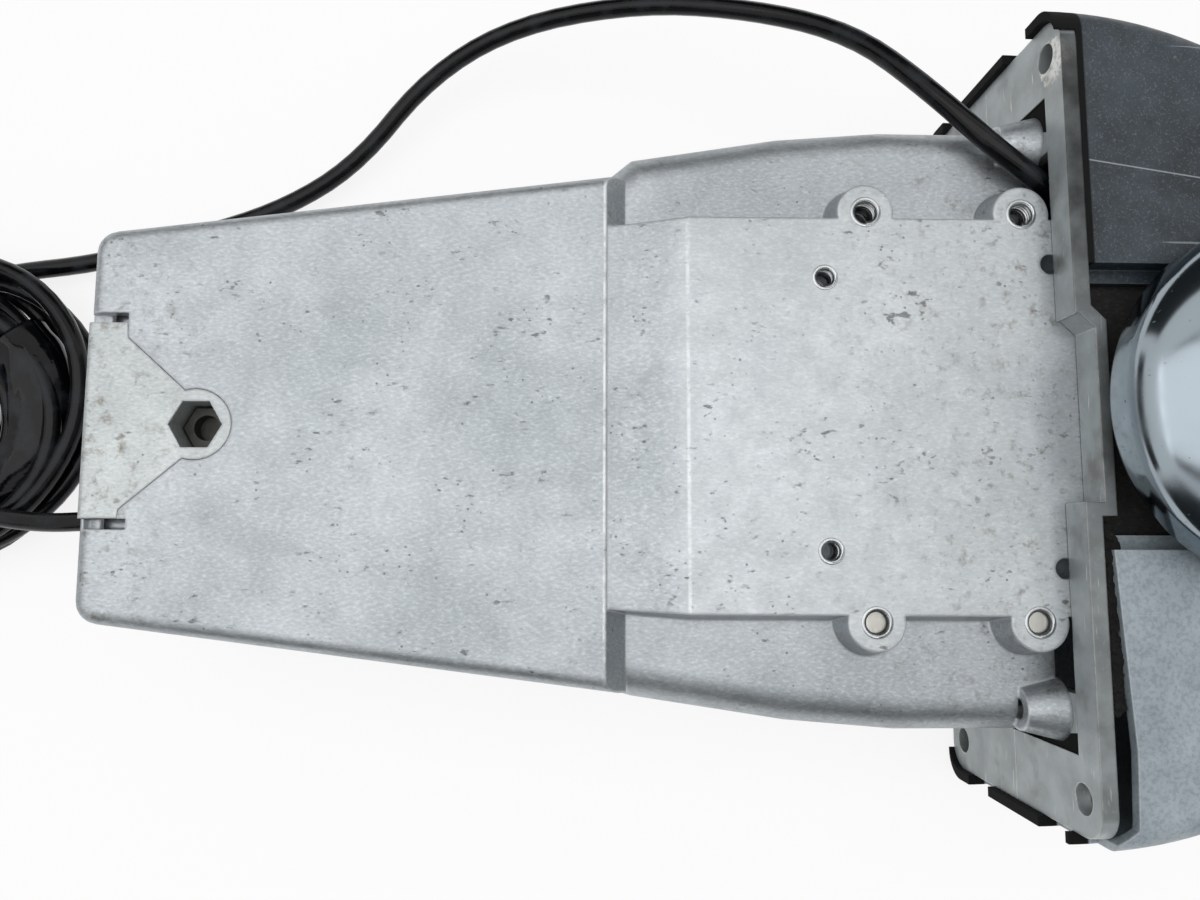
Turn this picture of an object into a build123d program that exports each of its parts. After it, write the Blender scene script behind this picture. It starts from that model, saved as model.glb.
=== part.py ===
"""Single lever boat throttle and shift control, top mounted, with its housing below the deck.

The deck plane is z = 0 and +Z is up. The parting plane of the casting is y = 0. The lever is on
the near side, which is -Y. The bow is towards -X. All sizes are in millimetres.
"""

import os
from math import atan, cos, pi, radians, sin, tan

from build123d import *

# ---------------------------------------------------------------- driving dimensions
flange_length = 186.5
flange_width = 74.4
flange_thick = 3.6
lug_rise = 0.4
flange_corner = 7.0
opening_length = 152.2
opening_width = 58.4
deck_bolt_x = 85.15
deck_bolt_y = 30.3
deck_bolt_r = 3.4

wall = 3.0
trunk_shift = 3.0
trunk_end_z = -222.3
trunk_top_z = -99.5
trunk_end_half = 44.5
trunk_top_half = 60.6
trunk_depth = 26.4
step_drop = 5.0
shoulder_depth = 21.0
shoulder_round = 8.0
pad_depth = 29.0
pad_half = 46.0
pad_end_z = -104.0
ramp_top_z = -85.0
draft = 11.0

boss_x = 47.3
boss_z = (-43.9, -7.0)
boss_r = 6.5
screw_r = 3.0
blind_holes = ((31.5, -53.8), (35.3, -0.6))
blind_r = 2.4

hex_x = 3.4
hex_z = -197.0
hex_flats = 10.5
clamp_thick = 5.0

pivot_z = 43.0
shaft_r = 8.0
running_gap = 0.05
hub_r = 40.0
hub_back = 41.0

gear_module = 2.0
pinion_teeth = 16
segment_teeth = 34
shift_pivot_z = pivot_z - gear_module * (pinion_teeth + segment_teeth) / 2

dome_r = 96.0
dome_z = -2.0
cover_wall = 2.5

lever_top_z = 184.0

os.makedirs("parts", exist_ok=True)


def near(depth):
    """A plane parallel to the parting plane, depth millimetres towards the lever side."""
    return Plane.XZ.offset(depth)


def keep(part, name):
    """Label a finished piece and write its STEP file."""
    part.label = name
    export_step(part, "parts/" + name + ".step")
    print(name, len(part.solids()), round(part.volume))


# ---------------------------------------------------------------- casting forms
def trunk_form(inset):
    """The long lower trunk of one half, which narrows towards its bottom end."""
    end_half = trunk_end_half - inset
    top_half = trunk_top_half - inset
    with BuildPart() as form:
        with BuildSketch(Plane.XZ) as outline:
            with BuildLine():
                Polyline(
                    (trunk_shift - end_half, trunk_end_z + inset),
                    (trunk_shift + end_half, trunk_end_z + inset),
                    (trunk_shift + top_half, trunk_top_z),
                    (trunk_shift - top_half, trunk_top_z),
                    close=True,
                )
            make_face()
            fillet(outline.vertices().group_by(Axis.Y)[0], 5.5 - inset / 2)
        extrude(amount=trunk_depth - inset)
        face_edges = form.faces().sort_by(Axis.Y)[0].edges()
        fillet(face_edges.sort_by(Axis.Z)[:-1], 3.5 - inset / 2)
        with BuildSketch(Plane.YZ):
            with BuildLine():
                Polyline(
                    (inset - trunk_depth, trunk_top_z - step_drop - inset),
                    (-trunk_depth - 1, trunk_top_z - step_drop - inset),
                    (-trunk_depth - 1, trunk_top_z + 1),
                    (inset - shoulder_depth, trunk_top_z + 1),
                    (inset - shoulder_depth, trunk_top_z - inset),
                    close=True,
                )
            make_face()
        extrude(amount=80, both=True, mode=Mode.SUBTRACT)
    return form.part


def shoulder_form(inset):
    """The wide upper body of one half, whose flanks round over into its shoulders."""
    with BuildPart() as form:
        with BuildSketch(Plane.XZ) as outline:
            with BuildLine():
                Polyline(
                    (-56.6, -108.0),
                    (62.6, -108.0),
                    (65.4, -98.0),
                    (71.0, -62.0),
                    (73.2, -36.0),
                    (73.2, 0.0),
                    (-73.2, 0.0),
                    (-73.2, -36.0),
                    (-71.0, -62.0),
                    (-65.0, -98.0),
                    close=True,
                )
            make_face()
            if inset:
                offset(amount=-inset)
        extrude(amount=shoulder_depth - inset)
        face_edges = form.faces().sort_by(Axis.Y)[0].edges()
        flank_edges = face_edges.filter_by(lambda edge: abs(edge.center().X) > 50)
        fillet(flank_edges, shoulder_round - inset)
    return form.part


def pad_form():
    """The raised flat pad with its drafted walls, threaded bosses and ramped lower end."""
    rise = pad_depth - shoulder_depth + 2
    spread = rise * tan(radians(draft))
    with BuildPart() as form:
        with BuildSketch(near(pad_depth - rise)):
            with BuildLine():
                Polyline(
                    (-43.4 - spread, pad_end_z - spread),
                    (43.8 + spread, pad_end_z - spread),
                    (45.6 + spread, ramp_top_z),
                    (pad_half + spread, 0.0),
                    (-pad_half - spread, 0.0),
                    (-45.6 - spread, ramp_top_z),
                    close=True,
                )
            make_face()
        extrude(amount=rise, taper=draft)
        with BuildSketch(near(pad_depth - rise)):
            for z in boss_z:
                with Locations((-boss_x, z), (boss_x, z)):
                    Circle(boss_r + spread)
        extrude(amount=rise, taper=draft)
        with BuildSketch(Plane.YZ):
            with BuildLine():
                Polyline(
                    (-pad_depth, ramp_top_z),
                    (-trunk_depth + 0.6, trunk_top_z - 0.5),
                    (-trunk_depth + 0.6, trunk_top_z - 12),
                    (-pad_depth - 2, trunk_top_z - 12),
                    (-pad_depth - 2, ramp_top_z),
                    close=True,
                )
            make_face()
        extrude(amount=70, both=True, mode=Mode.SUBTRACT)
    return form.part


def head_form(inset):
    """The arched head that stands through the flange and carries the lever shaft."""
    half = pad_half - inset
    with BuildPart() as form:
        with BuildSketch(Plane.XZ):
            with BuildLine():
                base_z = -10.0 if inset == 0 else -96.0
                Line((-half, base_z), (half, base_z))
                Line((half, base_z), (half, pivot_z))
                ThreePointArc((half, pivot_z), (0, pivot_z + half), (-half, pivot_z))
                Line((-half, pivot_z), (-half, base_z))
            make_face()
        extrude(amount=pad_depth - inset)
    return form.part


def half_casting():
    """One half of the cast housing, hollowed from the parting plane, on the near side."""
    with BuildPart() as half:
        add(trunk_form(0))
        add(shoulder_form(0))
        add(pad_form())
        add(head_form(0))
        for x in (-67.5, 67.5):
            with BuildSketch(Plane((x, -20, lug_rise))):
                Circle(7.2)
            extrude(amount=-9, taper=14)
        add(trunk_form(wall), mode=Mode.SUBTRACT)
        with BuildSketch(Plane.XZ):
            with Locations((trunk_shift, trunk_top_z)):
                Rectangle(2 * (trunk_top_half - 6), 24)
        extrude(amount=shoulder_depth - wall, mode=Mode.SUBTRACT)
        add(shoulder_form(wall), mode=Mode.SUBTRACT)
        add(head_form(wall), mode=Mode.SUBTRACT)
    return half.part


def round_posts(points, radius, low, high, mode=Mode.ADD):
    """Round posts, or holes, along the depth axis between two depths."""
    with BuildSketch(near(low)) as circles:
        with Locations(*points):
            Circle(radius)
    extrude(circles.sketch, amount=high - low, mode=mode)


def clamp_outline(depth, gap):
    """The clamp plate's outline: a wide foot with two ears, narrowing round the nut."""
    with BuildSketch(near(depth)) as outline:
        with BuildLine():
            Polyline(
                (-19.8, trunk_end_z),
                (24.6, trunk_end_z),
                (24.6, -213.2),
                (22.6, -213.0),
                (hex_x + 7.2, hex_z - 2.0),
                (hex_x - 7.2, hex_z - 2.0),
                (-16.4, -213.0),
                (-19.8, -213.2),
                close=True,
            )
        make_face()
        with Locations((hex_x, hex_z)):
            Circle(8.0)
        if gap:
            offset(amount=gap)
    return outline.sketch


# ---------------------------------------------------------------- housing halves
pad_bosses = [(x, z) for z in boss_z for x in (-boss_x, boss_x)]
plain_bosses = [(side * x, z) for x, z in blind_holes for side in (-1, 1)]
trunk_posts = [(trunk_shift - 31, -202), (trunk_shift + 31, -202)]
pivot_centre = (0, pivot_z)
segment_centre = (0, shift_pivot_z)
clamp_centre = (hex_x, hex_z)
outlet_x = (hex_x - 12.5, hex_x + 12.5)
outlet_r = 5.3
outlet_depth = 14.0
ear_screw_r = 2.45
ear_centres = [(x, y) for x in (-67.5, 67.5) for y in (-20, 20)]
grommet_x = 24.0
grommet_y = 13.0
nut_top = trunk_depth - 7.0
nut_thick = 5.0

friction_centre = (-12.0, 60.0)
cover_screw_r = 1.95
cover_screw_points = [(-40, 22), (40, 22), (-20, 74), (20, 74)]

switch_posts = [(-35, 52), (-25, 52)]
detent_y = -15.5
lead_r = 2.6
lead_start = Vector(-53.7, -24.0, 5.4)
lead_way = (Vector(-62.0, -27.4, -9.4) - lead_start).normalized()
gland_plane = Plane(origin=lead_start, z_dir=lead_way)
gland_r = 4.2

casting = half_casting()

with BuildPart() as housing_near:
    add(casting)
    round_posts([pivot_centre], 16.0, pad_depth - wall, 34.0)
    round_posts([pivot_centre], 13.5, 18.0, pad_depth - wall)
    round_posts([segment_centre], 8.5, 15.5, pad_depth - wall)
    round_posts(plain_bosses, 4.8, 19.0, pad_depth - wall)
    round_posts(pad_bosses, 6.2, 0.0, pad_depth - wall)
    round_posts(trunk_posts, 5.5, 0.0, trunk_depth - wall)
    round_posts(switch_posts, 2.6, 12.6, pad_depth - wall)
    extrude(clamp_outline(trunk_depth - clamp_thick, 0.15), amount=8, mode=Mode.SUBTRACT)
    with BuildSketch(near(trunk_depth - wall)):
        with Locations((-20.9, -217.7), (25.9, -215.9)):
            Rectangle(2.4, 9.4)
    extrude(amount=6, mode=Mode.SUBTRACT)
    round_posts([pivot_centre], 10.5, 0.0, 40.0, Mode.SUBTRACT)
    round_posts([segment_centre], 5.0, 0.0, 24.5, Mode.SUBTRACT)
    round_posts(plain_bosses, blind_r, 20.0, 40.0, Mode.SUBTRACT)
    round_posts(pad_bosses, screw_r, 0.0, 40.0, Mode.SUBTRACT)
    round_posts(trunk_posts, screw_r, 0.0, 20.0, Mode.SUBTRACT)
    with BuildSketch(Plane.XY.offset(trunk_end_z)) as outlets:
        with Locations(*[(x, -outlet_depth) for x in outlet_x]):
            Circle(outlet_r)
    extrude(outlets.sketch, amount=wall + 2, mode=Mode.SUBTRACT)
    with BuildSketch(Plane.XY.offset(-9)) as ear_holes:
        with Locations(*ear_centres):
            Circle(ear_screw_r + 0.05)
    extrude(ear_holes.sketch, amount=10, mode=Mode.SUBTRACT)
    with BuildSketch(Plane.XY.offset(pivot_z + 30)) as plug_hole:
        with Locations((0, detent_y)):
            Circle(6.05)
    extrude(plug_hole.sketch, amount=30, mode=Mode.SUBTRACT)
    with BuildSketch(gland_plane) as gland_hole:
        Circle(gland_r)
    extrude(gland_hole.sketch, amount=-24, mode=Mode.SUBTRACT)
keep(housing_near.part, "housing_near")

with BuildPart() as housing_far:
    add(mirror(casting, about=Plane.XZ))
    round_posts([pivot_centre], 15.5, -pad_depth + wall, -16.0)
    round_posts(pad_bosses, 6.2, -pad_depth + wall, 0.0)
    round_posts(trunk_posts, 6.2, -trunk_depth + wall, 0.0)
    round_posts([clamp_centre], 8.3, -trunk_depth + wall, nut_top - nut_thick - 0.2)
    round_posts([friction_centre], 7.0, -pad_depth + wall, -20.0)
    round_posts([pivot_centre], 10.5, -25.5, 0.0, Mode.SUBTRACT)
    round_posts(pad_bosses + trunk_posts, 3.2, -40.0, 0.0, Mode.SUBTRACT)
    round_posts([clamp_centre], 3.2, -40.0, 20.0, Mode.SUBTRACT)
    round_posts(pad_bosses, 5.5, -40.0, -pad_depth + 4, Mode.SUBTRACT)
    round_posts(trunk_posts + [clamp_centre], 5.5, -40.0, -trunk_depth + 4, Mode.SUBTRACT)
    round_posts([friction_centre], screw_r, -40.0, 0.0, Mode.SUBTRACT)
    round_posts(cover_screw_points, cover_screw_r + 0.05, -40.0, -20.0, Mode.SUBTRACT)
    with BuildSketch(Plane.XY.offset(trunk_end_z)):
        with Locations((grommet_x, grommet_y)):
            Circle(5.0)
    extrude(amount=wall + 2, mode=Mode.SUBTRACT)
    with BuildSketch(Plane.XY.offset(-9)):
        with Locations(*ear_centres):
            Circle(ear_screw_r + 0.05)
    extrude(amount=10, mode=Mode.SUBTRACT)
keep(housing_far.part, "housing_far")

# ---------------------------------------------------------------- cable clamp
with BuildPart() as cable_clamp_plate:
    extrude(clamp_outline(trunk_depth - clamp_thick + 0.1, 0), amount=clamp_thick - 0.1)
    round_posts([clamp_centre], 8.3, nut_top - nut_thick, trunk_depth - clamp_thick + 0.1)
    with BuildSketch(near(nut_top - nut_thick)):
        with Locations((hex_x, hex_z)):
            RegularPolygon(hex_flats / 2, 6, major_radius=False, rotation=30)
    extrude(amount=20, mode=Mode.SUBTRACT)
    for x in outlet_x:
        with BuildSketch(Plane.XY.offset(trunk_end_z)):
            with Locations((x, -outlet_depth)):
                Circle(outlet_r + 3)
        extrude(amount=20, mode=Mode.SUBTRACT)
    fillet(cable_clamp_plate.faces().sort_by(Axis.Y)[0].outer_wire().edges().sort_by(Axis.Z)[0], 1.5)
keep(cable_clamp_plate.part, "cable_clamp_plate")

with BuildPart() as clamp_nut:
    with BuildSketch(near(nut_top - nut_thick)):
        with Locations((hex_x, hex_z)):
            RegularPolygon(5.0, 6, major_radius=False, rotation=30)
            Circle(screw_r, mode=Mode.SUBTRACT)
    extrude(amount=nut_thick)
    chamfer(clamp_nut.faces().sort_by(Axis.Y)[0].outer_wire().edges(), 0.4)
keep(clamp_nut.part, "clamp_nut")


def cap_screw(points, far_depth, tip_depth, radius=screw_r - 0.05):
    """Socket head cap screws put in from the far side, with their tips towards the lever."""
    with BuildSketch(near(-far_depth)) as shanks:
        with Locations(*points):
            Circle(radius)
    extrude(shanks.sketch, amount=far_depth + tip_depth)
    with BuildSketch(near(-far_depth - 6)) as heads:
        with Locations(*points):
            Circle(5.0)
    extrude(heads.sketch, amount=6)
    with BuildSketch(near(-far_depth - 6)) as sockets:
        with Locations(*points):
            RegularPolygon(2.5, 6, major_radius=False)
    extrude(sockets.sketch, amount=3, mode=Mode.SUBTRACT)


with BuildPart() as clamp_bolt:
    cap_screw([clamp_centre], trunk_depth - 4, nut_top - 3.5)
keep(clamp_bolt.part, "clamp_bolt")

with BuildPart() as housing_screws:
    cap_screw([(boss_x, z) for z in boss_z], pad_depth - 4, pad_depth - 1.2)
    cap_screw(trunk_posts, trunk_depth - 4, 18.0)
    tips = housing_screws.edges().filter_by(GeomType.CIRCLE).group_by(Axis.Y)[0]
    chamfer(tips, 0.6)
keep(housing_screws.part, "housing_screws")


# ---------------------------------------------------------------- deck flange
def flange_half(side):
    """Half of the deck flange: a rail, two end arms with holes, and two inner lugs."""
    rail_y = side * (flange_width + opening_width) / 4
    rail_wide = (flange_width - opening_width) / 2
    with BuildPart() as half:
        with BuildSketch():
            RectangleRounded(flange_length, flange_width, flange_corner)
            Rectangle(opening_length, opening_width, mode=Mode.SUBTRACT)
            with Locations((0, rail_y)):
                Rectangle(43.0, rail_wide + 1, mode=Mode.SUBTRACT)
            with Locations((-deck_bolt_x, side * deck_bolt_y), (deck_bolt_x, side * deck_bolt_y)):
                Circle(deck_bolt_r, mode=Mode.SUBTRACT)
            with Locations((0, -side * flange_width / 2)):
                Rectangle(flange_length, flange_width, mode=Mode.SUBTRACT)
        extrude(amount=flange_thick)
        with BuildSketch(Plane.XY.offset(lug_rise)):
            for x in (-1, 1):
                with Locations((x * (63 + opening_length / 2) / 2, side * 21.1)):
                    Rectangle(opening_length / 2 - 63, 16.2)
            with Locations((-67.5, side * 20), (67.5, side * 20)):
                Circle(ear_screw_r + 0.05, mode=Mode.SUBTRACT)
        extrude(amount=flange_thick - lug_rise)
        with BuildSketch(Plane.XZ.offset(-rail_y)):
            with BuildLine():
                Polyline(
                    (-25.0, 0.0),
                    (-22.5, 0.0),
                    (-18.2, 4.3),
                    (20.6, 4.3),
                    (20.6, 0.0),
                    (25.0, 0.0),
                    (25.0, flange_thick),
                    (23.6, flange_thick),
                    (23.6, 6.9),
                    (-20.0, 6.9),
                    (-23.4, flange_thick),
                    (-25.0, flange_thick),
                    close=True,
                )
            make_face()
        extrude(amount=rail_wide / 2, both=True)
    return half.part


flange_near_part = flange_half(-1)
keep(flange_near_part, "flange_near")
flange_far_part = flange_half(1)
keep(flange_far_part, "flange_far")

with BuildPart() as flange_screws:
    with BuildSketch(Plane.XY.offset(-7.5)):
        with Locations(*ear_centres):
            Circle(ear_screw_r)
    extrude(amount=7.5 + flange_thick)
    with BuildSketch(Plane.XY.offset(flange_thick)):
        with Locations(*ear_centres):
            Circle(4.6)
    extrude(amount=2.8)
    fillet(flange_screws.faces().group_by(Axis.Z)[-1].edges(), 0.8)
keep(flange_screws.part, "flange_screws")


# ---------------------------------------------------------------- covers
def dome_form(inset):
    """The solid of the dome over the head, as a half cylinder with rounded edges."""
    radius = dome_r - inset
    with BuildPart() as form:
        with BuildSketch(Plane.XZ):
            with Locations((0, dome_z)):
                Circle(radius)
            with Locations((0, -101.5)):
                Rectangle(220, 200, mode=Mode.SUBTRACT)
        extrude(amount=flange_width / 2 - inset, both=True)
        rims = form.edges().filter_by(GeomType.CIRCLE)
        fillet(rims, 7.0 - inset)
    return form.part


def dome_shell():
    """The whole dome as a shell, cleared round the flange so that only the end skirts go down."""
    with BuildPart() as shell:
        add(dome_form(0))
        add(dome_form(cover_wall), mode=Mode.SUBTRACT)
        with BuildSketch(Plane.XY.offset(-4)):
            RectangleRounded(flange_length + 0.3, flange_width + 0.6, flange_corner)
        extrude(amount=4 + flange_thick, mode=Mode.SUBTRACT)
        with BuildSketch(Plane.XY.offset(-4)):
            for x in (-96, 96):
                with Locations((x, -18.8), (x, 18.8)):
                    Rectangle(6.5, 11.6)
        extrude(amount=4 + flange_thick, mode=Mode.SUBTRACT)
    return shell.part


dome = dome_shell()
recess_fore = -33.2
recess_aft = 31.0
lip_height = 70.0

with BuildPart() as fore_cover:
    add(dome)
    split(bisect_by=Plane.YZ.offset(recess_fore), keep=Keep.BOTTOM)
    with BuildSketch(Plane.XY.offset(flange_thick)):
        with Locations((recess_fore - 1.2, -33.0)):
            Rectangle(2.4, 7.2)
        with Locations((recess_fore + 1.0, -30.6)):
            Rectangle(4.4, 2.4)
    extrude(amount=lip_height)
    with BuildSketch(near(-flange_width / 2 + 1)):
        with Locations((-40, 22)):
            Circle(4.0)
    extrude(amount=flange_width / 2 - 1 - pad_depth - 0.1)
    with BuildSketch(near(-45)):
        with Locations((-40, 22)):
            Circle(cover_screw_r + 0.05)
    extrude(amount=20, mode=Mode.SUBTRACT)
keep(fore_cover.part, "fore_cover")

with BuildPart() as aft_cover:
    add(dome)
    split(bisect_by=Plane.YZ.offset(recess_aft), keep=Keep.TOP)
    with BuildSketch(Plane.XY.offset(flange_thick)):
        with Locations((recess_aft + 1.2, -33.0)):
            Rectangle(2.4, 7.2)
        with Locations((recess_aft - 1.0, -30.6)):
            Rectangle(4.4, 2.4)
    extrude(amount=lip_height)
    with BuildSketch(near(26)):
        with BuildLine():
            Polyline(
                (20.0, 0.0),
                (20.0, 5.4),
                (recess_aft, 5.8),
                (74.0, 8.4),
                (90.0, 7.8),
                (93.4, 4.0),
                (97.0, 5.5),
                (97.0, -4.0),
                close=True,
            )
        make_face()
    extrude(amount=20, mode=Mode.SUBTRACT)
    with BuildSketch(near(-flange_width / 2 + 1)):
        with Locations((40, 22)):
            Circle(4.0)
    extrude(amount=flange_width / 2 - 1 - pad_depth - 0.1)
    with BuildSketch(near(-45)):
        with Locations((40, 22)):
            Circle(cover_screw_r + 0.05)
    extrude(amount=20, mode=Mode.SUBTRACT)
keep(aft_cover.part, "aft_cover")

with BuildPart() as crown_cover:
    add(dome)
    split(bisect_by=Plane.YZ.offset(recess_fore + 0.2), keep=Keep.TOP)
    split(bisect_by=Plane.YZ.offset(recess_aft - 0.2), keep=Keep.BOTTOM)
    with BuildSketch(near(26)):
        with Locations(pivot_centre):
            Circle(hub_r + 3)
        with Locations((0, 0)):
            Rectangle(90, 2 * pivot_z)
    extrude(amount=20, mode=Mode.SUBTRACT)
    with BuildSketch(near(-flange_width / 2 - 1)):
        Rectangle(51.0, 15.0)
    extrude(amount=10, mode=Mode.SUBTRACT)
    with BuildSketch(near(-flange_width / 2 + 1)):
        with Locations((-20, 74), (20, 74)):
            Circle(4.0)
    extrude(amount=flange_width / 2 - 1 - pad_depth - 0.1)
    with BuildSketch(near(-45)):
        with Locations((-20, 74), (20, 74)):
            Circle(cover_screw_r + 0.05)
    extrude(amount=20, mode=Mode.SUBTRACT)
keep(crown_cover.part, "crown_cover")

with BuildPart() as cover_screws:
    with BuildSketch(near(-flange_width / 2)):
        with Locations(*cover_screw_points):
            Circle(cover_screw_r)
    extrude(amount=11.0)
    with BuildSketch(near(-flange_width / 2 - 2.2)):
        with Locations(*cover_screw_points):
            Circle(3.8)
    extrude(amount=2.2)
    fillet(cover_screws.faces().group_by(Axis.Y)[-1].edges(), 0.7)
keep(cover_screws.part, "cover_screws")

with BuildPart() as foam_gasket:
    with BuildSketch(near(30.5)):
        with BuildLine():
            Polyline((-88, 3.6), (-36, 3.6), (-36, 6.2), (-88, 6.2), close=True)
        make_face()
    extrude(amount=3.6)
    with BuildSketch(near(30.2)):
        with BuildLine():
            Polyline((25.4, 3.6), (66, 3.6), (66, 7.4), (50, 6.4), (36, 5.6), (25.4, 5.3), close=True)
        make_face()
    extrude(amount=5.6)
keep(foam_gasket.part, "foam_gasket")


# ---------------------------------------------------------------- shaft and bushes
def turned(profile):
    """A turned solid about the lever shaft's axis, from (radius, depth) points."""
    with BuildPart() as solid:
        with BuildSketch(Plane.YZ):
            with BuildLine():
                Polyline(*[(-depth, pivot_z + radius) for radius, depth in profile], close=True)
            make_face()
        revolve(axis=Axis((0, 0, pivot_z), (0, 1, 0)))
    return solid.part


def bush(low, high):
    """A flanged bearing bush for the lever shaft."""
    bore = shaft_r + running_gap
    return turned(((bore, low), (bore, high), (10.5, high), (10.5, low)))


shaft_front = 51.5
keep(
    turned(((0, -25.0), (7.2, -25.0), (8, -24.2), (8, shaft_front), (4, shaft_front), (4, 38), (0, 38))),
    "lever_shaft",
)
keep(bush(17.6, 33.6), "near_bush")
keep(bush(-25.4, -16.2), "far_bush")


# ---------------------------------------------------------------- gears
def tooth_half_angle(teeth, radius, backlash):
    """Half the angle of an involute tooth at a radius, in radians."""
    pitch_r = gear_module * teeth / 2
    base_r = pitch_r * cos(radians(20))
    spread = tan(radians(20)) - radians(20)
    if radius <= base_r:
        return pi / (2 * teeth) - backlash / (2 * pitch_r) + spread
    slope = (radius * radius / (base_r * base_r) - 1) ** 0.5
    roll = slope - atan(slope)
    return pi / (2 * teeth) - backlash / (2 * pitch_r) + spread - roll


def tooth_flanks(teeth, centre, middle, backlash):
    """Points round one tooth, whose middle is at an angle in degrees."""
    pitch_r = gear_module * teeth / 2
    root_r = pitch_r - 1.25 * gear_module
    tip_r = pitch_r + 0.95 * gear_module
    radii = [root_r, (root_r + pitch_r) / 2, pitch_r, (pitch_r + tip_r) / 2, tip_r]
    points = []
    for side, order in ((-1, radii), (1, list(reversed(radii)))):
        for radius in order:
            angle = radians(middle) + side * tooth_half_angle(teeth, radius, backlash)
            points.append((centre[0] + radius * cos(angle), centre[1] + radius * sin(angle)))
    return points


backlash = 0.35

with BuildPart() as drive_gear:
    with BuildSketch(near(7)):
        with BuildLine():
            flanks = []
            for tooth in range(pinion_teeth):
                middle = -90 + tooth * 360 / pinion_teeth
                flanks += tooth_flanks(pinion_teeth, pivot_centre, middle, backlash)
            Polyline(*flanks, close=True)
        make_face()
        with Locations(pivot_centre):
            Circle(shaft_r, mode=Mode.SUBTRACT)
    extrude(amount=6)
    round_posts([pivot_centre], 11.0, 13.0, 14.0)
    round_posts([pivot_centre], shaft_r, 13.0, 14.0, Mode.SUBTRACT)
keep(drive_gear.part, "drive_gear")

segment_pitch = 360 / segment_teeth
arm_end = (0.0, shift_pivot_z - 55.0)

with BuildPart() as shift_arm:
    with BuildSketch(near(7)):
        with BuildLine():
            flanks = [(0.0, shift_pivot_z - 8.0)]
            for tooth in range(-5, 5):
                middle = 90 + (tooth + 0.5) * segment_pitch
                flanks += tooth_flanks(segment_teeth, segment_centre, middle, backlash)
            Polyline(*flanks, close=True)
        make_face()
        with BuildLine():
            Polyline(
                (-10.5, shift_pivot_z),
                (10.5, shift_pivot_z),
                (6.5, arm_end[1]),
                (-6.5, arm_end[1]),
                close=True,
            )
        make_face()
        with Locations(segment_centre):
            Circle(11)
        with Locations(arm_end):
            Circle(6.5)
        with Locations(arm_end):
            Circle(3.05, mode=Mode.SUBTRACT)
        with Locations((0, shift_pivot_z - 26)):
            SlotOverall(22, 7, rotation=90, mode=Mode.SUBTRACT)
        with PolarLocations(20, 2, start_angle=62, angular_range=112):
            Circle(4.5, mode=Mode.SUBTRACT)
    extrude(amount=6)
    round_posts([segment_centre], 8.0, 6.0, 15.0)
    round_posts([segment_centre], 5.05, 0.0, 20.0, Mode.SUBTRACT)
keep(shift_arm.part, "shift_arm")

with BuildPart() as shift_pivot_pin:
    round_posts([segment_centre], 5.0, 3.4, 24.4)
    with BuildSketch(near(4.6)):
        with Locations(segment_centre):
            Circle(6)
            Circle(4.2, mode=Mode.SUBTRACT)
    extrude(amount=1.1, mode=Mode.SUBTRACT)
keep(shift_pivot_pin.part, "shift_pivot_pin")

with BuildPart() as pivot_clip:
    with BuildSketch(near(4.65)):
        with Locations(segment_centre):
            Circle(8)
            Circle(4.2, mode=Mode.SUBTRACT)
            Rectangle(5.0, 20, align=(Align.CENTER, Align.MIN), mode=Mode.SUBTRACT)
    extrude(amount=1.0)
keep(pivot_clip.part, "pivot_clip")


def trunnion(centre, pin_low, pin_high, block_low):
    """A cable end block with its own pin, and a threaded hole in its lower end."""
    with BuildPart() as block:
        round_posts([centre], 3.0, pin_low, pin_high)
        with BuildSketch(near(block_low)):
            with Locations(centre):
                Circle(6.0)
                with Locations((0, -7)):
                    Rectangle(10.0, 14.0)
        extrude(amount=9)
        with BuildSketch(Plane((centre[0], -block_low - 4.5, centre[1] - 14))):
            Circle(2.1)
        extrude(amount=9, mode=Mode.SUBTRACT)
    return block.part


keep(trunnion(arm_end, -2.6, 13.8, -2.6), "shift_trunnion")

crank_r = 22.5
crank_pin = (0.0, pivot_z - crank_r)

with BuildPart() as throttle_crank:
    with BuildSketch(near(-8)):
        with Locations(pivot_centre):
            Circle(28)
            Circle(shaft_r, mode=Mode.SUBTRACT)
            with PolarLocations(19, 3, start_angle=30, angular_range=180):
                Circle(5, mode=Mode.SUBTRACT)
    extrude(amount=6)
    round_posts([pivot_centre], 11.0, -2.0, 7.0)
    round_posts([pivot_centre], shaft_r, -2.0, 7.0, Mode.SUBTRACT)
    round_posts([crank_pin], 3.0, -18.4, -8.0)
keep(throttle_crank.part, "throttle_crank")

with BuildPart() as throttle_trunnion:
    with BuildSketch(near(-17.6)):
        with Locations(crank_pin):
            Circle(6.0)
            with Locations((0, -7)):
                Rectangle(10.0, 14.0)
            Circle(3.05, mode=Mode.SUBTRACT)
    extrude(amount=9.2)
    with BuildSketch(Plane((0, 13.0, crank_pin[1] - 14))):
        Circle(2.1)
    extrude(amount=9, mode=Mode.SUBTRACT)
keep(throttle_trunnion.part, "throttle_trunnion")

# ---------------------------------------------------------------- detent and friction
detent_r = 17.0

with BuildPart() as detent_plate:
    with BuildSketch(near(14)):
        with Locations(pivot_centre):
            Circle(detent_r)
            Circle(shaft_r, mode=Mode.SUBTRACT)
            with PolarLocations(detent_r + 1.9, 3, start_angle=60, angular_range=60):
                Circle(3.1, mode=Mode.SUBTRACT)
    extrude(amount=3)
keep(detent_plate.part, "detent_plate")

ball_r = 2.9
ball_z = pivot_z + detent_r + 0.35 + ball_r

with BuildPart() as detent_plunger:
    with BuildSketch(Plane((0, detent_y, ball_z))):
        Circle(ball_r)
    extrude(amount=12)
    with Locations((0, detent_y, ball_z)):
        Sphere(ball_r)
keep(detent_plunger.part, "detent_plunger")

plug_top = pivot_z + pad_half + 1.8

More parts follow.
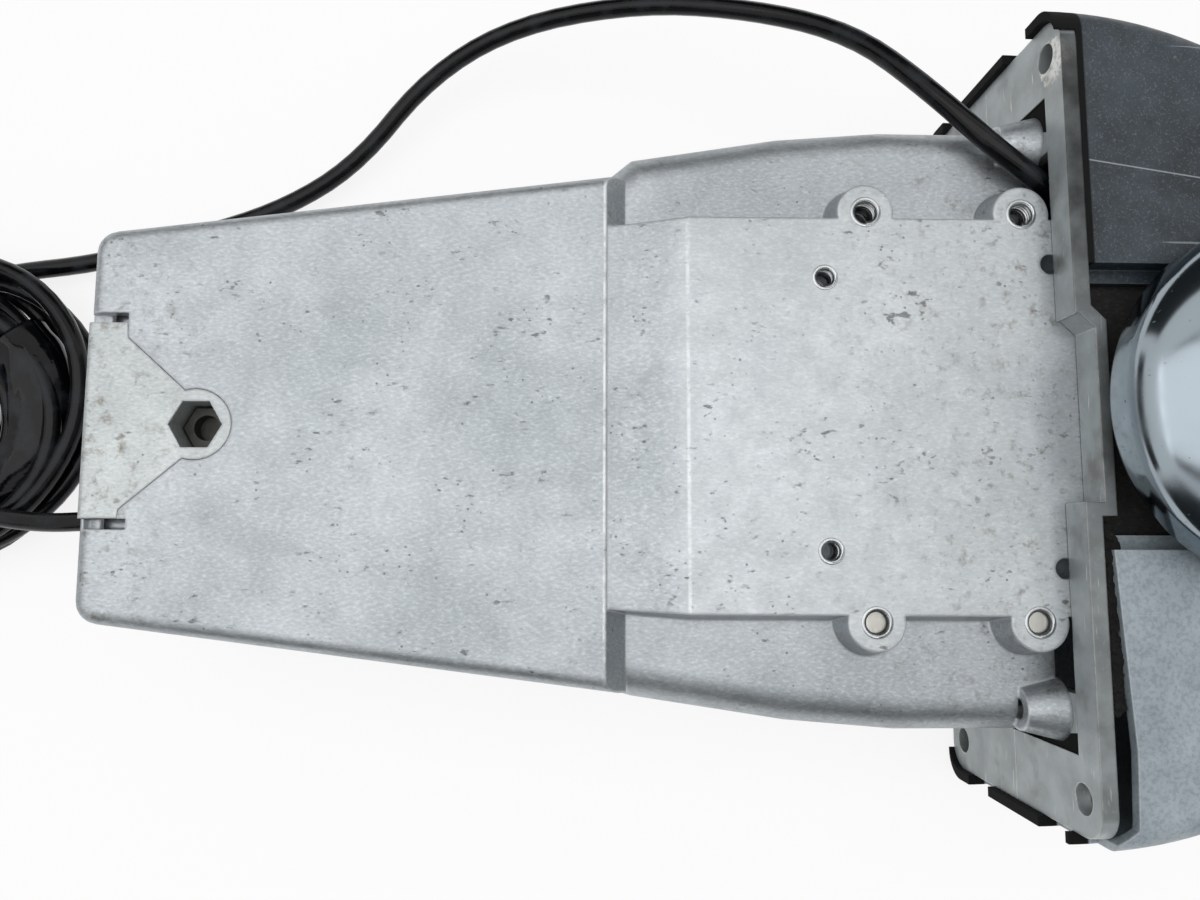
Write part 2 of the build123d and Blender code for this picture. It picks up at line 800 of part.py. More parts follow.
with BuildPart() as detent_plug:
    with BuildSketch(Plane((0, detent_y, ball_z + 4.0))):
        Circle(6)
    extrude(amount=plug_top - ball_z - 5.8)
    with BuildSketch(Plane((0, detent_y, pivot_z + pad_half))):
        RegularPolygon(7.5, 6, major_radius=False)
    extrude(amount=1.8)
    with BuildSketch(Plane((0, detent_y, ball_z))):
        Circle(ball_r + running_gap)
    extrude(amount=22, mode=Mode.SUBTRACT)
keep(detent_plug.part, "detent_plug")


def coil_spring(x, y, low, high, radius, wire_r, turns):
    """A closed-coil compression spring along Z."""
    with BuildPart() as spring:
        with BuildLine():
            coil = Helix(pitch=(high - low) / turns, height=high - low, radius=radius, center=(x, y, low))
        with BuildSketch(Plane(origin=coil @ 0, z_dir=coil % 0)):
            RegularPolygon(wire_r, 6)
        sweep(is_frenet=True)
    return spring.part


keep(coil_spring(0, detent_y, ball_z + 12.5, ball_z + 21.5, 2.1, 0.45, 5), "detent_spring")

with BuildPart() as friction_pad:
    round_posts([friction_centre], 5.0, -11.3, -8.3)
keep(friction_pad.part, "friction_pad")

with BuildPart() as friction_screw:
    round_posts([friction_centre], screw_r - 0.05, -pad_depth - 1.6, -11.3)
    round_posts([friction_centre], 5.0, -pad_depth - 3.6, -pad_depth)
    with BuildSketch(near(-pad_depth - 3.6)):
        with Locations(friction_centre):
            Rectangle(8.0, 1.2)
    extrude(amount=1.2, mode=Mode.SUBTRACT)
keep(friction_screw.part, "friction_screw")

with BuildPart() as neutral_switch:
    with BuildSketch(near(6.0)):
        with Locations((-30, 52)):
            Rectangle(18, 10)
            with Locations((-5, 0), (5, 0)):
                Circle(1.2, mode=Mode.SUBTRACT)
    extrude(amount=6.5)
    fillet(neutral_switch.edges().filter_by(Axis.Y), 0.6)
    with BuildSketch(Plane((-21, -9.2, 52), x_dir=(0, 1, 0), z_dir=(1, 0, 0))):
        Rectangle(2, 2)
    extrude(amount=1.4)
keep(neutral_switch.part, "neutral_switch")

# ---------------------------------------------------------------- hub, arm and neutral lock
ring_r = 21.0

with BuildPart() as lock_ring:
    with BuildSketch(near(31.0)):
        with Locations(pivot_centre):
            Circle(ring_r)
            Circle(16.0, mode=Mode.SUBTRACT)
            with Locations((0, ring_r - 1)):
                Rectangle(6.0, 5.0, mode=Mode.SUBTRACT)
    extrude(amount=5.4)
keep(lock_ring.part, "lock_ring")

arm_front = 52.0
arm_top = lever_top_z - 8.0
grip_under_z = lever_top_z - 14.4
rod_half = 2.4
rod_back = 41.4
rod_front = 44.8
rod_top = 162.0
foot_back = 33.5

with BuildPart() as lever_arm:
    with BuildSketch(near(hub_back)):
        with BuildLine():
            Polyline(
                (-13.5, pivot_z),
                (13.5, pivot_z),
                (12.5, 92.0),
                (9.5, arm_top),
                (-9.5, arm_top),
                (-12.5, 92.0),
                close=True,
            )
        make_face()
        with Locations(pivot_centre):
            Circle(20)
    extrude(amount=arm_front - hub_back)
    long_edges = lever_arm.faces().sort_by(Axis.Y)[0].edges().filter_by(
        lambda edge: 60 < edge.center().Z < arm_top - 1
    )
    fillet(long_edges, 3.0)
    round_posts([pivot_centre], 12.0, 34.4, hub_back)
    round_posts([pivot_centre], shaft_r, 30, 60, Mode.SUBTRACT)
    with BuildSketch(Plane((0, 0, pivot_z + 16))):
        with Locations((0, -hub_back - 2)):
            Rectangle(2 * rod_half + 0.8, 5.0)
    extrude(amount=arm_top, mode=Mode.SUBTRACT)
keep(lever_arm.part, "lever_arm")

hub_profile = (
    (20.3, 41.0),
    (37.0, 41.0),
    (40.0, 43.5),
    (40.0, 49.0),
    (38.6, 52.4),
    (35.5, 55.4),
    (31.0, 57.8),
    (25.0, 60.0),
    (18.0, 61.8),
    (11.0, 63.0),
    (9.3, 62.6),
    (9.3, 53.8),
    (4.1, 53.8),
    (4.1, 52.2),
    (20.3, 52.2),
)

with BuildPart() as lever_hub:
    add(turned(hub_profile))
    with BuildSketch(near(hub_back - 1)):
        with Locations((0, pivot_z + 30)):
            Rectangle(27.4, 60)
    extrude(amount=arm_front - hub_back + 1.2, mode=Mode.SUBTRACT)
keep(lever_hub.part, "lever_hub")

keep(
    turned(((0, 39.0), (3.95, 39.0), (3.95, 53.8), (6.8, 53.8), (6.8, 56.6), (6.0, 57.2), (0, 57.2))),
    "hub_bolt",
)
keep(
    turned(((0, 60.5), (9.0, 60.5), (9.0, 65.2), (7.6, 66.6), (0, 67.2))),
    "throttle_button",
)

with BuildPart() as lock_rod:
    with BuildSketch(Plane.XY.offset(pivot_z + ring_r + 0.4)):
        with Locations((0, -(rod_back + rod_front) / 2)):
            Rectangle(2 * rod_half, rod_front - rod_back)
    extrude(amount=rod_top - pivot_z - ring_r - 0.4)
    with BuildSketch(Plane.XY.offset(pivot_z + ring_r + 0.4)):
        with Locations((0, -(rod_back + foot_back) / 2)):
            Rectangle(2 * rod_half, rod_back - foot_back)
    extrude(amount=3.0)
keep(lock_rod.part, "lock_rod")

trigger_z = 153.0

with BuildPart() as lock_trigger:
    with BuildSketch(Plane.XY.offset(trigger_z)):
        with Locations((0, -9.0)):
            RectangleRounded(15.0, 62.0, 6.5)
        with Locations((0, -(rod_back + 39.0) / 2)):
            Rectangle(2 * rod_half, rod_back - 39.0)
    extrude(amount=8.0)
    levels = lock_trigger.faces().group_by(Axis.Z)
    rims = levels[0].edges() + levels[-1].edges()
    fillet(rims.filter_by(lambda edge: edge.center().Y > -39.5), 1.2)
keep(lock_trigger.part, "lock_trigger")

keep(coil_spring(0, -43.1, rod_top + 0.5, grip_under_z - 0.7, 1.5, 0.35, 5), "lock_spring")

# ---------------------------------------------------------------- grip and trim switch
grip_front = 56.0
grip_sections = (
    (grip_front, 15.5, 13.0),
    (grip_front - 6, 17.0, 14.4),
    (grip_front - 30, 18.2, 14.6),
    (grip_front - 58, 17.6, 14.4),
    (grip_front - 84, 15.6, 13.0),
    (grip_front - 96, 12.2, 10.0),
)

with BuildPart() as grip_body:
    for depth, half_x, half_z in grip_sections:
        with BuildSketch(near(depth)):
            with Locations((0, lever_top_z)):
                Ellipse(half_x, half_z)
    loft()
    fillet(grip_body.faces().sort_by(Axis.Y)[-1].edges(), 5.0)
    with BuildSketch(Plane.XY.offset(arm_top)):
        with Locations((0, -(hub_back + arm_front) / 2)):
            Rectangle(20.2, arm_front - hub_back + 0.3)
    extrude(amount=-20, mode=Mode.SUBTRACT)
keep(grip_body.part, "grip_body")

with BuildPart() as grip_cap:
    with BuildSketch(near(grip_front)):
        with Locations((0, lever_top_z)):
            Ellipse(15.5, 13.0)
    extrude(amount=5)
    fillet(grip_cap.faces().sort_by(Axis.Y)[0].edges(), 2.0)
    with BuildSketch(near(grip_front + 1)):
        with Locations((0, lever_top_z)):
            RectangleRounded(13.0, 19.0, 2.0)
    extrude(amount=10, mode=Mode.SUBTRACT)
keep(grip_cap.part, "grip_cap")

with BuildPart() as trim_bezel:
    with BuildSketch(near(grip_front + 1)):
        with Locations((0, lever_top_z)):
            RectangleRounded(13.0, 19.0, 2.0)
            RectangleRounded(10.4, 16.4, 1.0, mode=Mode.SUBTRACT)
    extrude(amount=4.6)
keep(trim_bezel.part, "trim_bezel")

with BuildPart() as trim_rocker:
    with BuildSketch(Plane.YZ):
        with BuildLine():
            Line((-58.4, lever_top_z - 7.6), (-61.0, lever_top_z - 7.6))
            ThreePointArc((-61.0, lever_top_z - 7.6), (-62.4, lever_top_z - 4.4), (-61.9, lever_top_z))
            ThreePointArc((-61.9, lever_top_z), (-62.4, lever_top_z + 4.4), (-61.0, lever_top_z + 7.6))
            Line((-61.0, lever_top_z + 7.6), (-58.4, lever_top_z + 7.6))
            Line((-58.4, lever_top_z + 7.6), (-58.4, lever_top_z - 7.6))
        make_face()
    extrude(amount=4.9, both=True)
keep(trim_rocker.part, "trim_rocker")

# ---------------------------------------------------------------- leads
coil_centre = (-6.8, -292.0)
table_y = flange_width / 2
coil_rows = 3
trim_coil_r = 38.0
switch_coil_r = 27.0


def lead_tube(points, name):
    """A round lead along straight runs joined by the largest tangent arcs they allow."""
    stops = [Vector(*point) for point in points]
    radii = []
    for before, corner, after in zip(stops, stops[1:], stops[2:]):
        turn = (corner - before).get_angle(after - corner)
        run = min((corner - before).length, (after - corner).length)
        radii.append(0.45 * run / tan(radians(turn / 2)))
    with BuildPart() as tube:
        with BuildLine() as path:
            FilletPolyline(*stops, radius=radii)
        with BuildSketch(Plane(origin=stops[0], z_dir=stops[1] - stops[0])):
            Circle(lead_r)
        sweep()
    length = sum(edge.length for edge in path.edges())
    print(name, "length", round(length, 1), "bends", [round(radius) for radius in radii])
    print(name, "volume over section times length", tube.part.volume / (pi * lead_r**2 * length))
    return tube.part


def coil_ring(mean_r):
    """The outer form of a neat round coil, two turns deep and three high, lying on its side."""
    with BuildPart() as ring:
        with BuildSketch(Plane.XZ.offset(-table_y)):
            with Locations(coil_centre):
                Circle(mean_r + 2 * lead_r)
                Circle(mean_r - 2 * lead_r, mode=Mode.SUBTRACT)
        extrude(amount=2 * lead_r * coil_rows)
    return ring.part


def plug_body(axis_plane, length, width, height):
    """A small moulded plug with a stepped collar, a latch and an open socket end."""
    with BuildPart() as body:
        with BuildSketch(axis_plane):
            RectangleRounded(width - 3, height - 3, 2.0)
        extrude(amount=5)
        with BuildSketch(axis_plane.offset(5)):
            RectangleRounded(width, height, 1.6)
        extrude(amount=length - 5)
        with BuildSketch(axis_plane.offset(length)):
            RectangleRounded(width - 3, height - 3, 1.0)
        extrude(amount=-9, mode=Mode.SUBTRACT)
        with BuildSketch(axis_plane.offset(length - 10)):
            with Locations((-2.5, 0), (2.5, 0)):
                Circle(0.9)
        extrude(amount=8)
    return body.part


trim_route = (
    (-53.7, -24.0, 5.4),
    (-62.0, -27.4, -9.4),
    (-81.3, -22.5, -25.0),
    (-102.5, -11.0, -40.0),
    (-116.0, 1.0, -64.0),
    (-122.8, 10.0, -94.0),
    (-120.6, 19.0, -130.0),
    (-107.8, 26.4, -156.0),
    (-83.4, 31.8, -176.6),
    (-69.8, 34.2, -199.0),
    (-61.0, 34.6, -225.0),
    (-52.6, 34.5, -252.0),
    (-49.3, 34.6, -279.0),
)
trim_tail_route = (
    (6.0, 29.0, -333.2),
    (16.0, 29.2, -333.4),
    (26.0, 30.3, -332.0),
    (36.0, 31.2, -331.4),
)
switch_route = (
    (grommet_x, grommet_y, trunk_end_z - 6.0),
    (24.2, 13.2, -239.0),
    (24.8, 15.0, -251.0),
    (23.6, 17.2, -264.0),
    (21.2, 18.6, -277.0),
    (20.2, 19.8, -290.0),
)
switch_tail_route = (
    (-9.3, 20.2, -320.0),
    (-19.3, 18.2, -318.7),
    (-29.1, 16.2, -314.3),
    (-36.4, 15.2, -307.7),
    (-40.5, 15.0, -299.5),
)

with BuildPart() as lead_gland:
    with BuildSketch(gland_plane.offset(-18)):
        Circle(gland_r - 0.02)
    extrude(amount=6)
    with BuildSketch(gland_plane.offset(-12)):
        Circle(gland_r - 0.02)
    with BuildSketch(gland_plane):
        Circle(lead_r + 0.5)
    loft()
keep(lead_gland.part, "lead_gland")

keep(lead_tube(trim_route, "trim_lead"), "trim_lead")
keep(coil_ring(trim_coil_r), "trim_coil")
keep(lead_tube(trim_tail_route, "trim_tail"), "trim_tail")
trim_end = Vector(*trim_tail_route[-1])
trim_end_way = trim_end - Vector(*trim_tail_route[-2])
trim_end_plane = Plane(origin=trim_end, z_dir=trim_end_way, x_dir=(0, 0, 1))
keep(plug_body(trim_end_plane, 26.0, 14.0, 11.0), "trim_connector")

with BuildPart() as outlet_grommet:
    with BuildSketch(Plane.XY.offset(trunk_end_z + wall)):
        with Locations((grommet_x, grommet_y)):
            Circle(4.95)
    extrude(amount=-wall)
    with BuildSketch(Plane.XY.offset(trunk_end_z)):
        with Locations((grommet_x, grommet_y)):
            Circle(7.0)
    extrude(amount=-2.0)
    with BuildSketch(Plane.XY.offset(trunk_end_z - 2.0)):
        with Locations((grommet_x, grommet_y)):
            Circle(4.4)
    extrude(amount=-4.0, taper=14)
keep(outlet_grommet.part, "outlet_grommet")

keep(lead_tube(switch_route, "switch_lead"), "switch_lead")
keep(coil_ring(switch_coil_r), "switch_coil")
keep(lead_tube(switch_tail_route, "switch_tail"), "switch_tail")
switch_end = Vector(*switch_tail_route[-1])
switch_end_way = switch_end - Vector(*switch_tail_route[-2])
switch_end_plane = Plane(origin=switch_end, z_dir=switch_end_way, x_dir=(0, 1, 0))
keep(plug_body(switch_end_plane, 20.0, 10.0, 9.0), "switch_connector")

tie_width = 9.0
tie_thick = 1.2
tie_angle = radians(-40)
tie_out = Vector(cos(tie_angle), 0, sin(tie_angle))
tie_along = Vector(-sin(tie_angle), 0, cos(tie_angle))
coil_inner_r = switch_coil_r - 2 * lead_r
coil_outer_r = trim_coil_r + 2 * lead_r
coil_height = 2 * lead_r * coil_rows
coil_wide = coil_outer_r - coil_inner_r
tie_middle = Vector(coil_centre[0], table_y - coil_height / 2, coil_centre[1])
tie_middle += tie_out * (coil_inner_r + coil_outer_r) / 2

with BuildPart() as coil_tie:
    with BuildSketch(Plane(origin=tie_middle, x_dir=tie_out, z_dir=tie_along)):
        Rectangle(coil_wide + 1.6 + 2 * tie_thick, coil_height + 0.3 + 2 * tie_thick)
        Rectangle(coil_wide + 1.6, coil_height + 0.3, mode=Mode.SUBTRACT)
    extrude(amount=tie_width / 2, both=True)
keep(coil_tie.part, "coil_tie")
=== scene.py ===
"""Dressed scene of a top mounted boat throttle and shift control.

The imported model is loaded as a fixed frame. Each sub-assembly class dresses its own nodes or
replaces them with finer pieces, and each finish class builds one procedural material.
All lengths are in millimetres unless a name says otherwise, and +Z is up out of the deck.
"""

import logging
import math
from dataclasses import dataclass
from enum import Enum
from functools import partial
from typing import Any, Callable, ClassVar, Iterable

import bmesh
import bpy
from mathutils import Matrix, Vector

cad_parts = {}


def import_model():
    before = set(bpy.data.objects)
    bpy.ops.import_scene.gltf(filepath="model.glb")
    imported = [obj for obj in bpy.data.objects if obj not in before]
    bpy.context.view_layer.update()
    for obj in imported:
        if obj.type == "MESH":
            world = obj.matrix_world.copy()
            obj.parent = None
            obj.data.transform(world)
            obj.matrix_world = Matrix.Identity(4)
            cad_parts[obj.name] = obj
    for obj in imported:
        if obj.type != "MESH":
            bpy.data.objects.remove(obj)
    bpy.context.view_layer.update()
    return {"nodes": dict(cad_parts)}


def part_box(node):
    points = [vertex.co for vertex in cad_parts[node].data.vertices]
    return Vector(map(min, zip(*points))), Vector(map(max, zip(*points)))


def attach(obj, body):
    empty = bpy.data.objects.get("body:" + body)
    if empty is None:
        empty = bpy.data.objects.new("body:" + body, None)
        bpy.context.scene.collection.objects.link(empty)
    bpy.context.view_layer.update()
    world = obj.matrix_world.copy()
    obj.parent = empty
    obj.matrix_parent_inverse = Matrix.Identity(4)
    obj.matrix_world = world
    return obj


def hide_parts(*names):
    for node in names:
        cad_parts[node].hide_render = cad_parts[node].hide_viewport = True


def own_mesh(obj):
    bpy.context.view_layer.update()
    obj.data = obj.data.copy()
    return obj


log = logging.getLogger("throttle_control")

MM = 0.001
Z_TO_Y = (-math.pi / 2, 0.0, 0.0)
NODE_FAMILIES = ("ShaderNode", "GeometryNode", "Node")
Point = tuple[float, float, float]
Flat = tuple[float, float]
Tree = bpy.types.NodeTree
Socket = bpy.types.NodeSocket
Sockets = dict[str, Socket]
Nodes = dict[str, bpy.types.Object]
Coats = list[tuple[Socket, Any]]
Adder = Callable[..., Any]


class Body(str, Enum):
    """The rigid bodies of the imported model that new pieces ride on."""

    HOUSING = "housing"
    LEVER = "lever"


class Grain(Enum):
    """Directions that a brushed surface's fine lines follow, as squeezes of its coordinates."""

    ALONG_X = (0.04, 1.0, 1.0)
    ALONG_Y = (1.0, 0.04, 1.0)
    ALONG_Z = (1.0, 1.0, 0.04)


def linear(code: str) -> tuple[float, float, float, float]:
    """Turn an sRGB hex colour into linear RGBA.

    Args:
        code: six hex digits after a hash.

    Returns:
        The linear colour with an alpha of 1.
    """
    channels = [int(code[i : i + 2], 16) / 255 for i in (1, 3, 5)]
    red, green, blue = [c / 12.92 if c <= 0.04045 else ((c + 0.055) / 1.055) ** 2.4 for c in channels]
    return (red, green, blue, 1.0)


def metres(lengths: Iterable[float]) -> tuple[float, ...]:
    """Turn lengths in millimetres into metres."""
    return tuple(length * MM for length in lengths)


def add_node(tree: Tree, kind: str, out: int | str = 0, **sockets: Any) -> Any:
    """Add a node, set its settings and inputs, and return one of its outputs.

    Args:
        tree: the node tree.
        kind: the node's type, without its family's name in front.
        out: the output to return, by index or name.
        **sockets: an input's name with underscores for spaces, or i and its index, to a value,
            another node's output or a list of outputs. A name that starts with a small letter is a
            setting of the node.

    Returns:
        The chosen output, or the node itself where it has no outputs.
    """
    family = next(name for name in NODE_FAMILIES if hasattr(bpy.types, name + kind))
    node = tree.nodes.new(family + kind)
    inputs = {name: value for name, value in sockets.items() if name[0].isupper() or name[1:].isdigit()}
    for name, value in sockets.items():
        if name not in inputs:
            setattr(node, name, value)
    for name, value in inputs.items():
        socket = node.inputs[name.replace("_", " ") if name[0].isupper() else int(name[1:])]
        sources = value if isinstance(value, list) else [value]
        if isinstance(sources[0], Socket):
            for source in sources:
                tree.links.new(source, socket)
        else:
            socket.default_value = value
    return node.outputs[out] if node.outputs else node


def mesh_object(name: str, mesh: bpy.types.Mesh) -> bpy.types.Object:
    """Link a mesh into the scene as an object at the origin.

    Args:
        name: the object's name.
        mesh: its mesh.

    Returns:
        The object.
    """
    piece = bpy.data.objects.new(name, mesh)
    bpy.context.scene.collection.objects.link(piece)
    return piece


def plain_mesh(piece: bpy.types.Object) -> bpy.types.Object:
    """Swap an object and its modifiers for a plain mesh object of the same name.

    Args:
        piece: the object whose evaluated shape is kept.

    Returns:
        The plain object.
    """
    bpy.context.view_layer.update()
    graph = bpy.context.evaluated_depsgraph_get()
    mesh = bpy.data.meshes.new_from_object(piece.evaluated_get(graph), depsgraph=graph)
    name = piece.name
    bpy.data.objects.remove(piece)
    return mesh_object(name, mesh)


def close_shell(name: str, shell: bmesh.types.BMesh, sharp: float = 35.0) -> bpy.types.Object:
    """Turn a closed shell into a smooth shaded mesh object whose faces point outwards.

    Args:
        name: the piece's name.
        shell: the shell, which is freed.
        sharp: the angle, in degrees, past which an edge stays sharp.

    Returns:
        The piece.
    """
    bmesh.ops.remove_doubles(shell, verts=shell.verts, dist=0.001 * MM)
    bmesh.ops.recalc_face_normals(shell, faces=shell.faces)
    for face in shell.faces:
        face.smooth = True
    mesh = bpy.data.meshes.new(name)
    shell.to_mesh(mesh)
    shell.free()
    mesh.set_sharp_from_angle(angle=math.radians(sharp))
    return mesh_object(name, mesh)


def flat_cards(name: str, cards: Iterable[Iterable[Point]]) -> bpy.types.Object:
    """Make flat cards as one object.

    Args:
        name: the object's name.
        cards: each card's corners, in metres.

    Returns:
        The object.
    """
    shell = bmesh.new()
    for corners in cards:
        shell.faces.new([shell.verts.new(corner) for corner in corners])
    mesh = bpy.data.meshes.new(name)
    shell.to_mesh(mesh)
    shell.free()
    return mesh_object(name, mesh)


def grow(
    name: str, shape: Callable[[Adder, Sockets], Socket], finish: "Finish", **sizes: float | int | Point
) -> bpy.types.Object:
    """Run a geometry tree and keep what it makes as a plain mesh piece.

    Args:
        name: the piece's name.
        shape: adds the tree's nodes, given what adds one and the size inputs, and returns the geometry.
        finish: the piece's finish.
        **sizes: the tree's inputs, in metres, radians or counts.

    Returns:
        The piece.
    """
    tree = bpy.data.node_groups.new(name, "GeometryNodeTree")
    kinds = {int: "NodeSocketInt", float: "NodeSocketFloat", tuple: "NodeSocketVector"}
    keys = {}
    for size, value in sizes.items():
        socket = tree.interface.new_socket(size, in_out="INPUT", socket_type=kinds[type(value)])
        keys[size] = socket.identifier
    tree.interface.new_socket("geometry", in_out="OUTPUT", socket_type="NodeSocketGeometry")
    given = tree.nodes.new("NodeGroupInput")
    add = partial(add_node, tree)
    made = shape(add, {size: given.outputs[size] for size in sizes})
    made = add("RealizeInstances", Geometry=made)
    made = add("SetMaterial", Geometry=made, Material=finish.material())
    add("GroupOutput", i0=made)
    piece = mesh_object(name, bpy.data.meshes.new(name))
    grower = piece.modifiers.new(name, "NODES")
    grower.node_group = tree
    for size, value in sizes.items():
        grower[keys[size]] = value
    return plain_mesh(piece)


def set_twice(add: Adder, given: Sockets, shape: Socket, turn: Point = (0.0, 0.0, 0.0)) -> Socket:
    """Set a shape in two places, at the size input "first" and a "step" from it.

    Args:
        add: adds a node to the tree.
        given: its size inputs.
        shape: the geometry that is set.
        turn: its rotation, in radians.

    Returns:
        Both instances.
    """
    spots = add("MeshLine", Count=2, Start_Location=given["first"], Offset=given["step"])
    return add("InstanceOnPoints", Points=spots, Instance=shape, Rotation=turn)


def settle(piece: bpy.types.Object, body: Body, slot: str, *stands_for: str) -> None:
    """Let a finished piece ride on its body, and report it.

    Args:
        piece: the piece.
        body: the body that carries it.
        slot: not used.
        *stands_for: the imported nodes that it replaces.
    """
    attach(piece, body.value)
    if stands_for:
        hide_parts(*stands_for)
    log.info("%s: rides on %s, in place of %s", piece.name, body.value, ", ".join(stands_for) or "no node")


# ---------------------------------------------------------------- finishes
def patches(
    add: Adder, place: Socket, size: float, low: float, high: float, least: float = 0.0, most: float = 1.0,
    **noise: float,
) -> Socket:
    """Cut a noise into soft patches of more or less of something.

    Args:
        add: adds a node to the material.
        place: Object coordinates, or a mapping of them.
        size: the noise's size.
        low: the noise's level where a patch begins.
        high: the level where it is full.
        least: how much there is outside the patches.
        most: how much there is in a full patch.
        **noise: the noise's other inputs.

    Returns:
        How much there is at each point.
    """
    level = add("TexNoise", Vector=place, Scale=1 / (size * MM), **noise)
    return add("MapRange", Value=level, From_Min=low, From_Max=high, To_Min=least, To_Max=most)


def near_spot(add: Adder, place: Socket, spot: Point, reach: float, full: float) -> Socket:
    """Fade in towards a spot.

    Args:
        add: adds a node to the material.
        place: Object coordinates.
        spot: the spot.
        reach: the distance at which it begins.
        full: the distance inside which it is 1.

    Returns:
        The share at each point.
    """
    off = add("VectorMath", "Value", operation="DISTANCE", i0=place, i1=metres(spot))
    return add("MapRange", Value=off, From_Min=reach * MM, From_Max=full * MM)


def edge_wear_and_highlight(add: Adder, width: float, full: float = 0.92, most: float = 1.0) -> tuple[Socket, Socket]:
    """Find the edges, where the rounded normal leans away from the face's own.

    Args:
        add: adds a node to the material.
        width: how far in from an edge the mask reaches.
        full: the cosine of the lean at which the mask is full.
        most: the mask's level there.

    Returns:
        The mask at each point, which is bare wear on enamel and a painted highlight on the casting and the
        covers, and a normal that is rounded along the edges.
    """
    rounded = add("Bevel", Radius=width * MM)
    facing = add("NewGeometry", "Normal")
    lean = add("VectorMath", "Value", operation="DOT_PRODUCT", i0=rounded, i1=facing)
    return add("MapRange", Value=lean, From_Min=0.985, From_Max=full, To_Max=most), rounded


@dataclass(frozen=True)
class Finish:
    """A finish that builds one procedural material on Object coordinates, in metres."""

    SPECULAR: ClassVar[float] = 0.5

    name: str
    colour: str
    roughness: float = 0.5
    metallic: float = 0.0

    def material(self) -> bpy.types.Material:
        """Build this finish's material, once.

        Returns:
            The material, which is the same one each time.
        """
        made = bpy.data.materials.get(self.name)
        if made is None:
            made = bpy.data.materials.new(self.name)
            made.use_nodes = True
            tree = made.node_tree
            shader = tree.nodes["Principled BSDF"]
            base = linear(self.colour)
            shader.inputs["Base Color"].default_value = base
            shader.inputs["Roughness"].default_value = self.roughness
            shader.inputs["Metallic"].default_value = self.metallic
            shader.inputs["Specular IOR Level"].default_value = self.SPECULAR
            add = partial(add_node, tree)
            coats, driven = self.pattern(add, add("TexCoord", "Object"))
            for share, colour in coats:
                base = add("Mix", 2, data_type="RGBA", i0=share, i6=base, i7=colour)
                driven["Base Color"] = base
            for name, value in driven.items():
                tree.links.new(value, shader.inputs[name])
        return made

    def pattern(self, add: Adder, place: Socket) -> tuple[Coats, Sockets]:
        """Build the finish's pattern.

        Args:
            add: adds a node to the material.
            place: Object coordinates.

        Returns:
            The coats over the finish's colour, each how much it covers and its own colour, and the
            shader's other inputs by name, with what drives each.
        """
        grain = add("TexNoise", Vector=place, Scale=1 / (0.6 * MM), Detail=3.0)
        least, most = self.roughness - 0.06, self.roughness + 0.06
        rough = add("MapRange", Value=grain, From_Min=0.3, From_Max=0.7, To_Min=least, To_Max=most)
        bump = add("Bump", Height=grain, Distance=0.02 * MM)
        return [], {"Roughness": rough, "Normal": bump}

    def dress(self, *pieces: bpy.types.Object) -> None:
        """Give pieces this finish as their only material.

        Args:
            *pieces: the pieces.
        """
        for piece in pieces:
            piece.data.materials.clear()
            piece.data.materials.append(self.material())


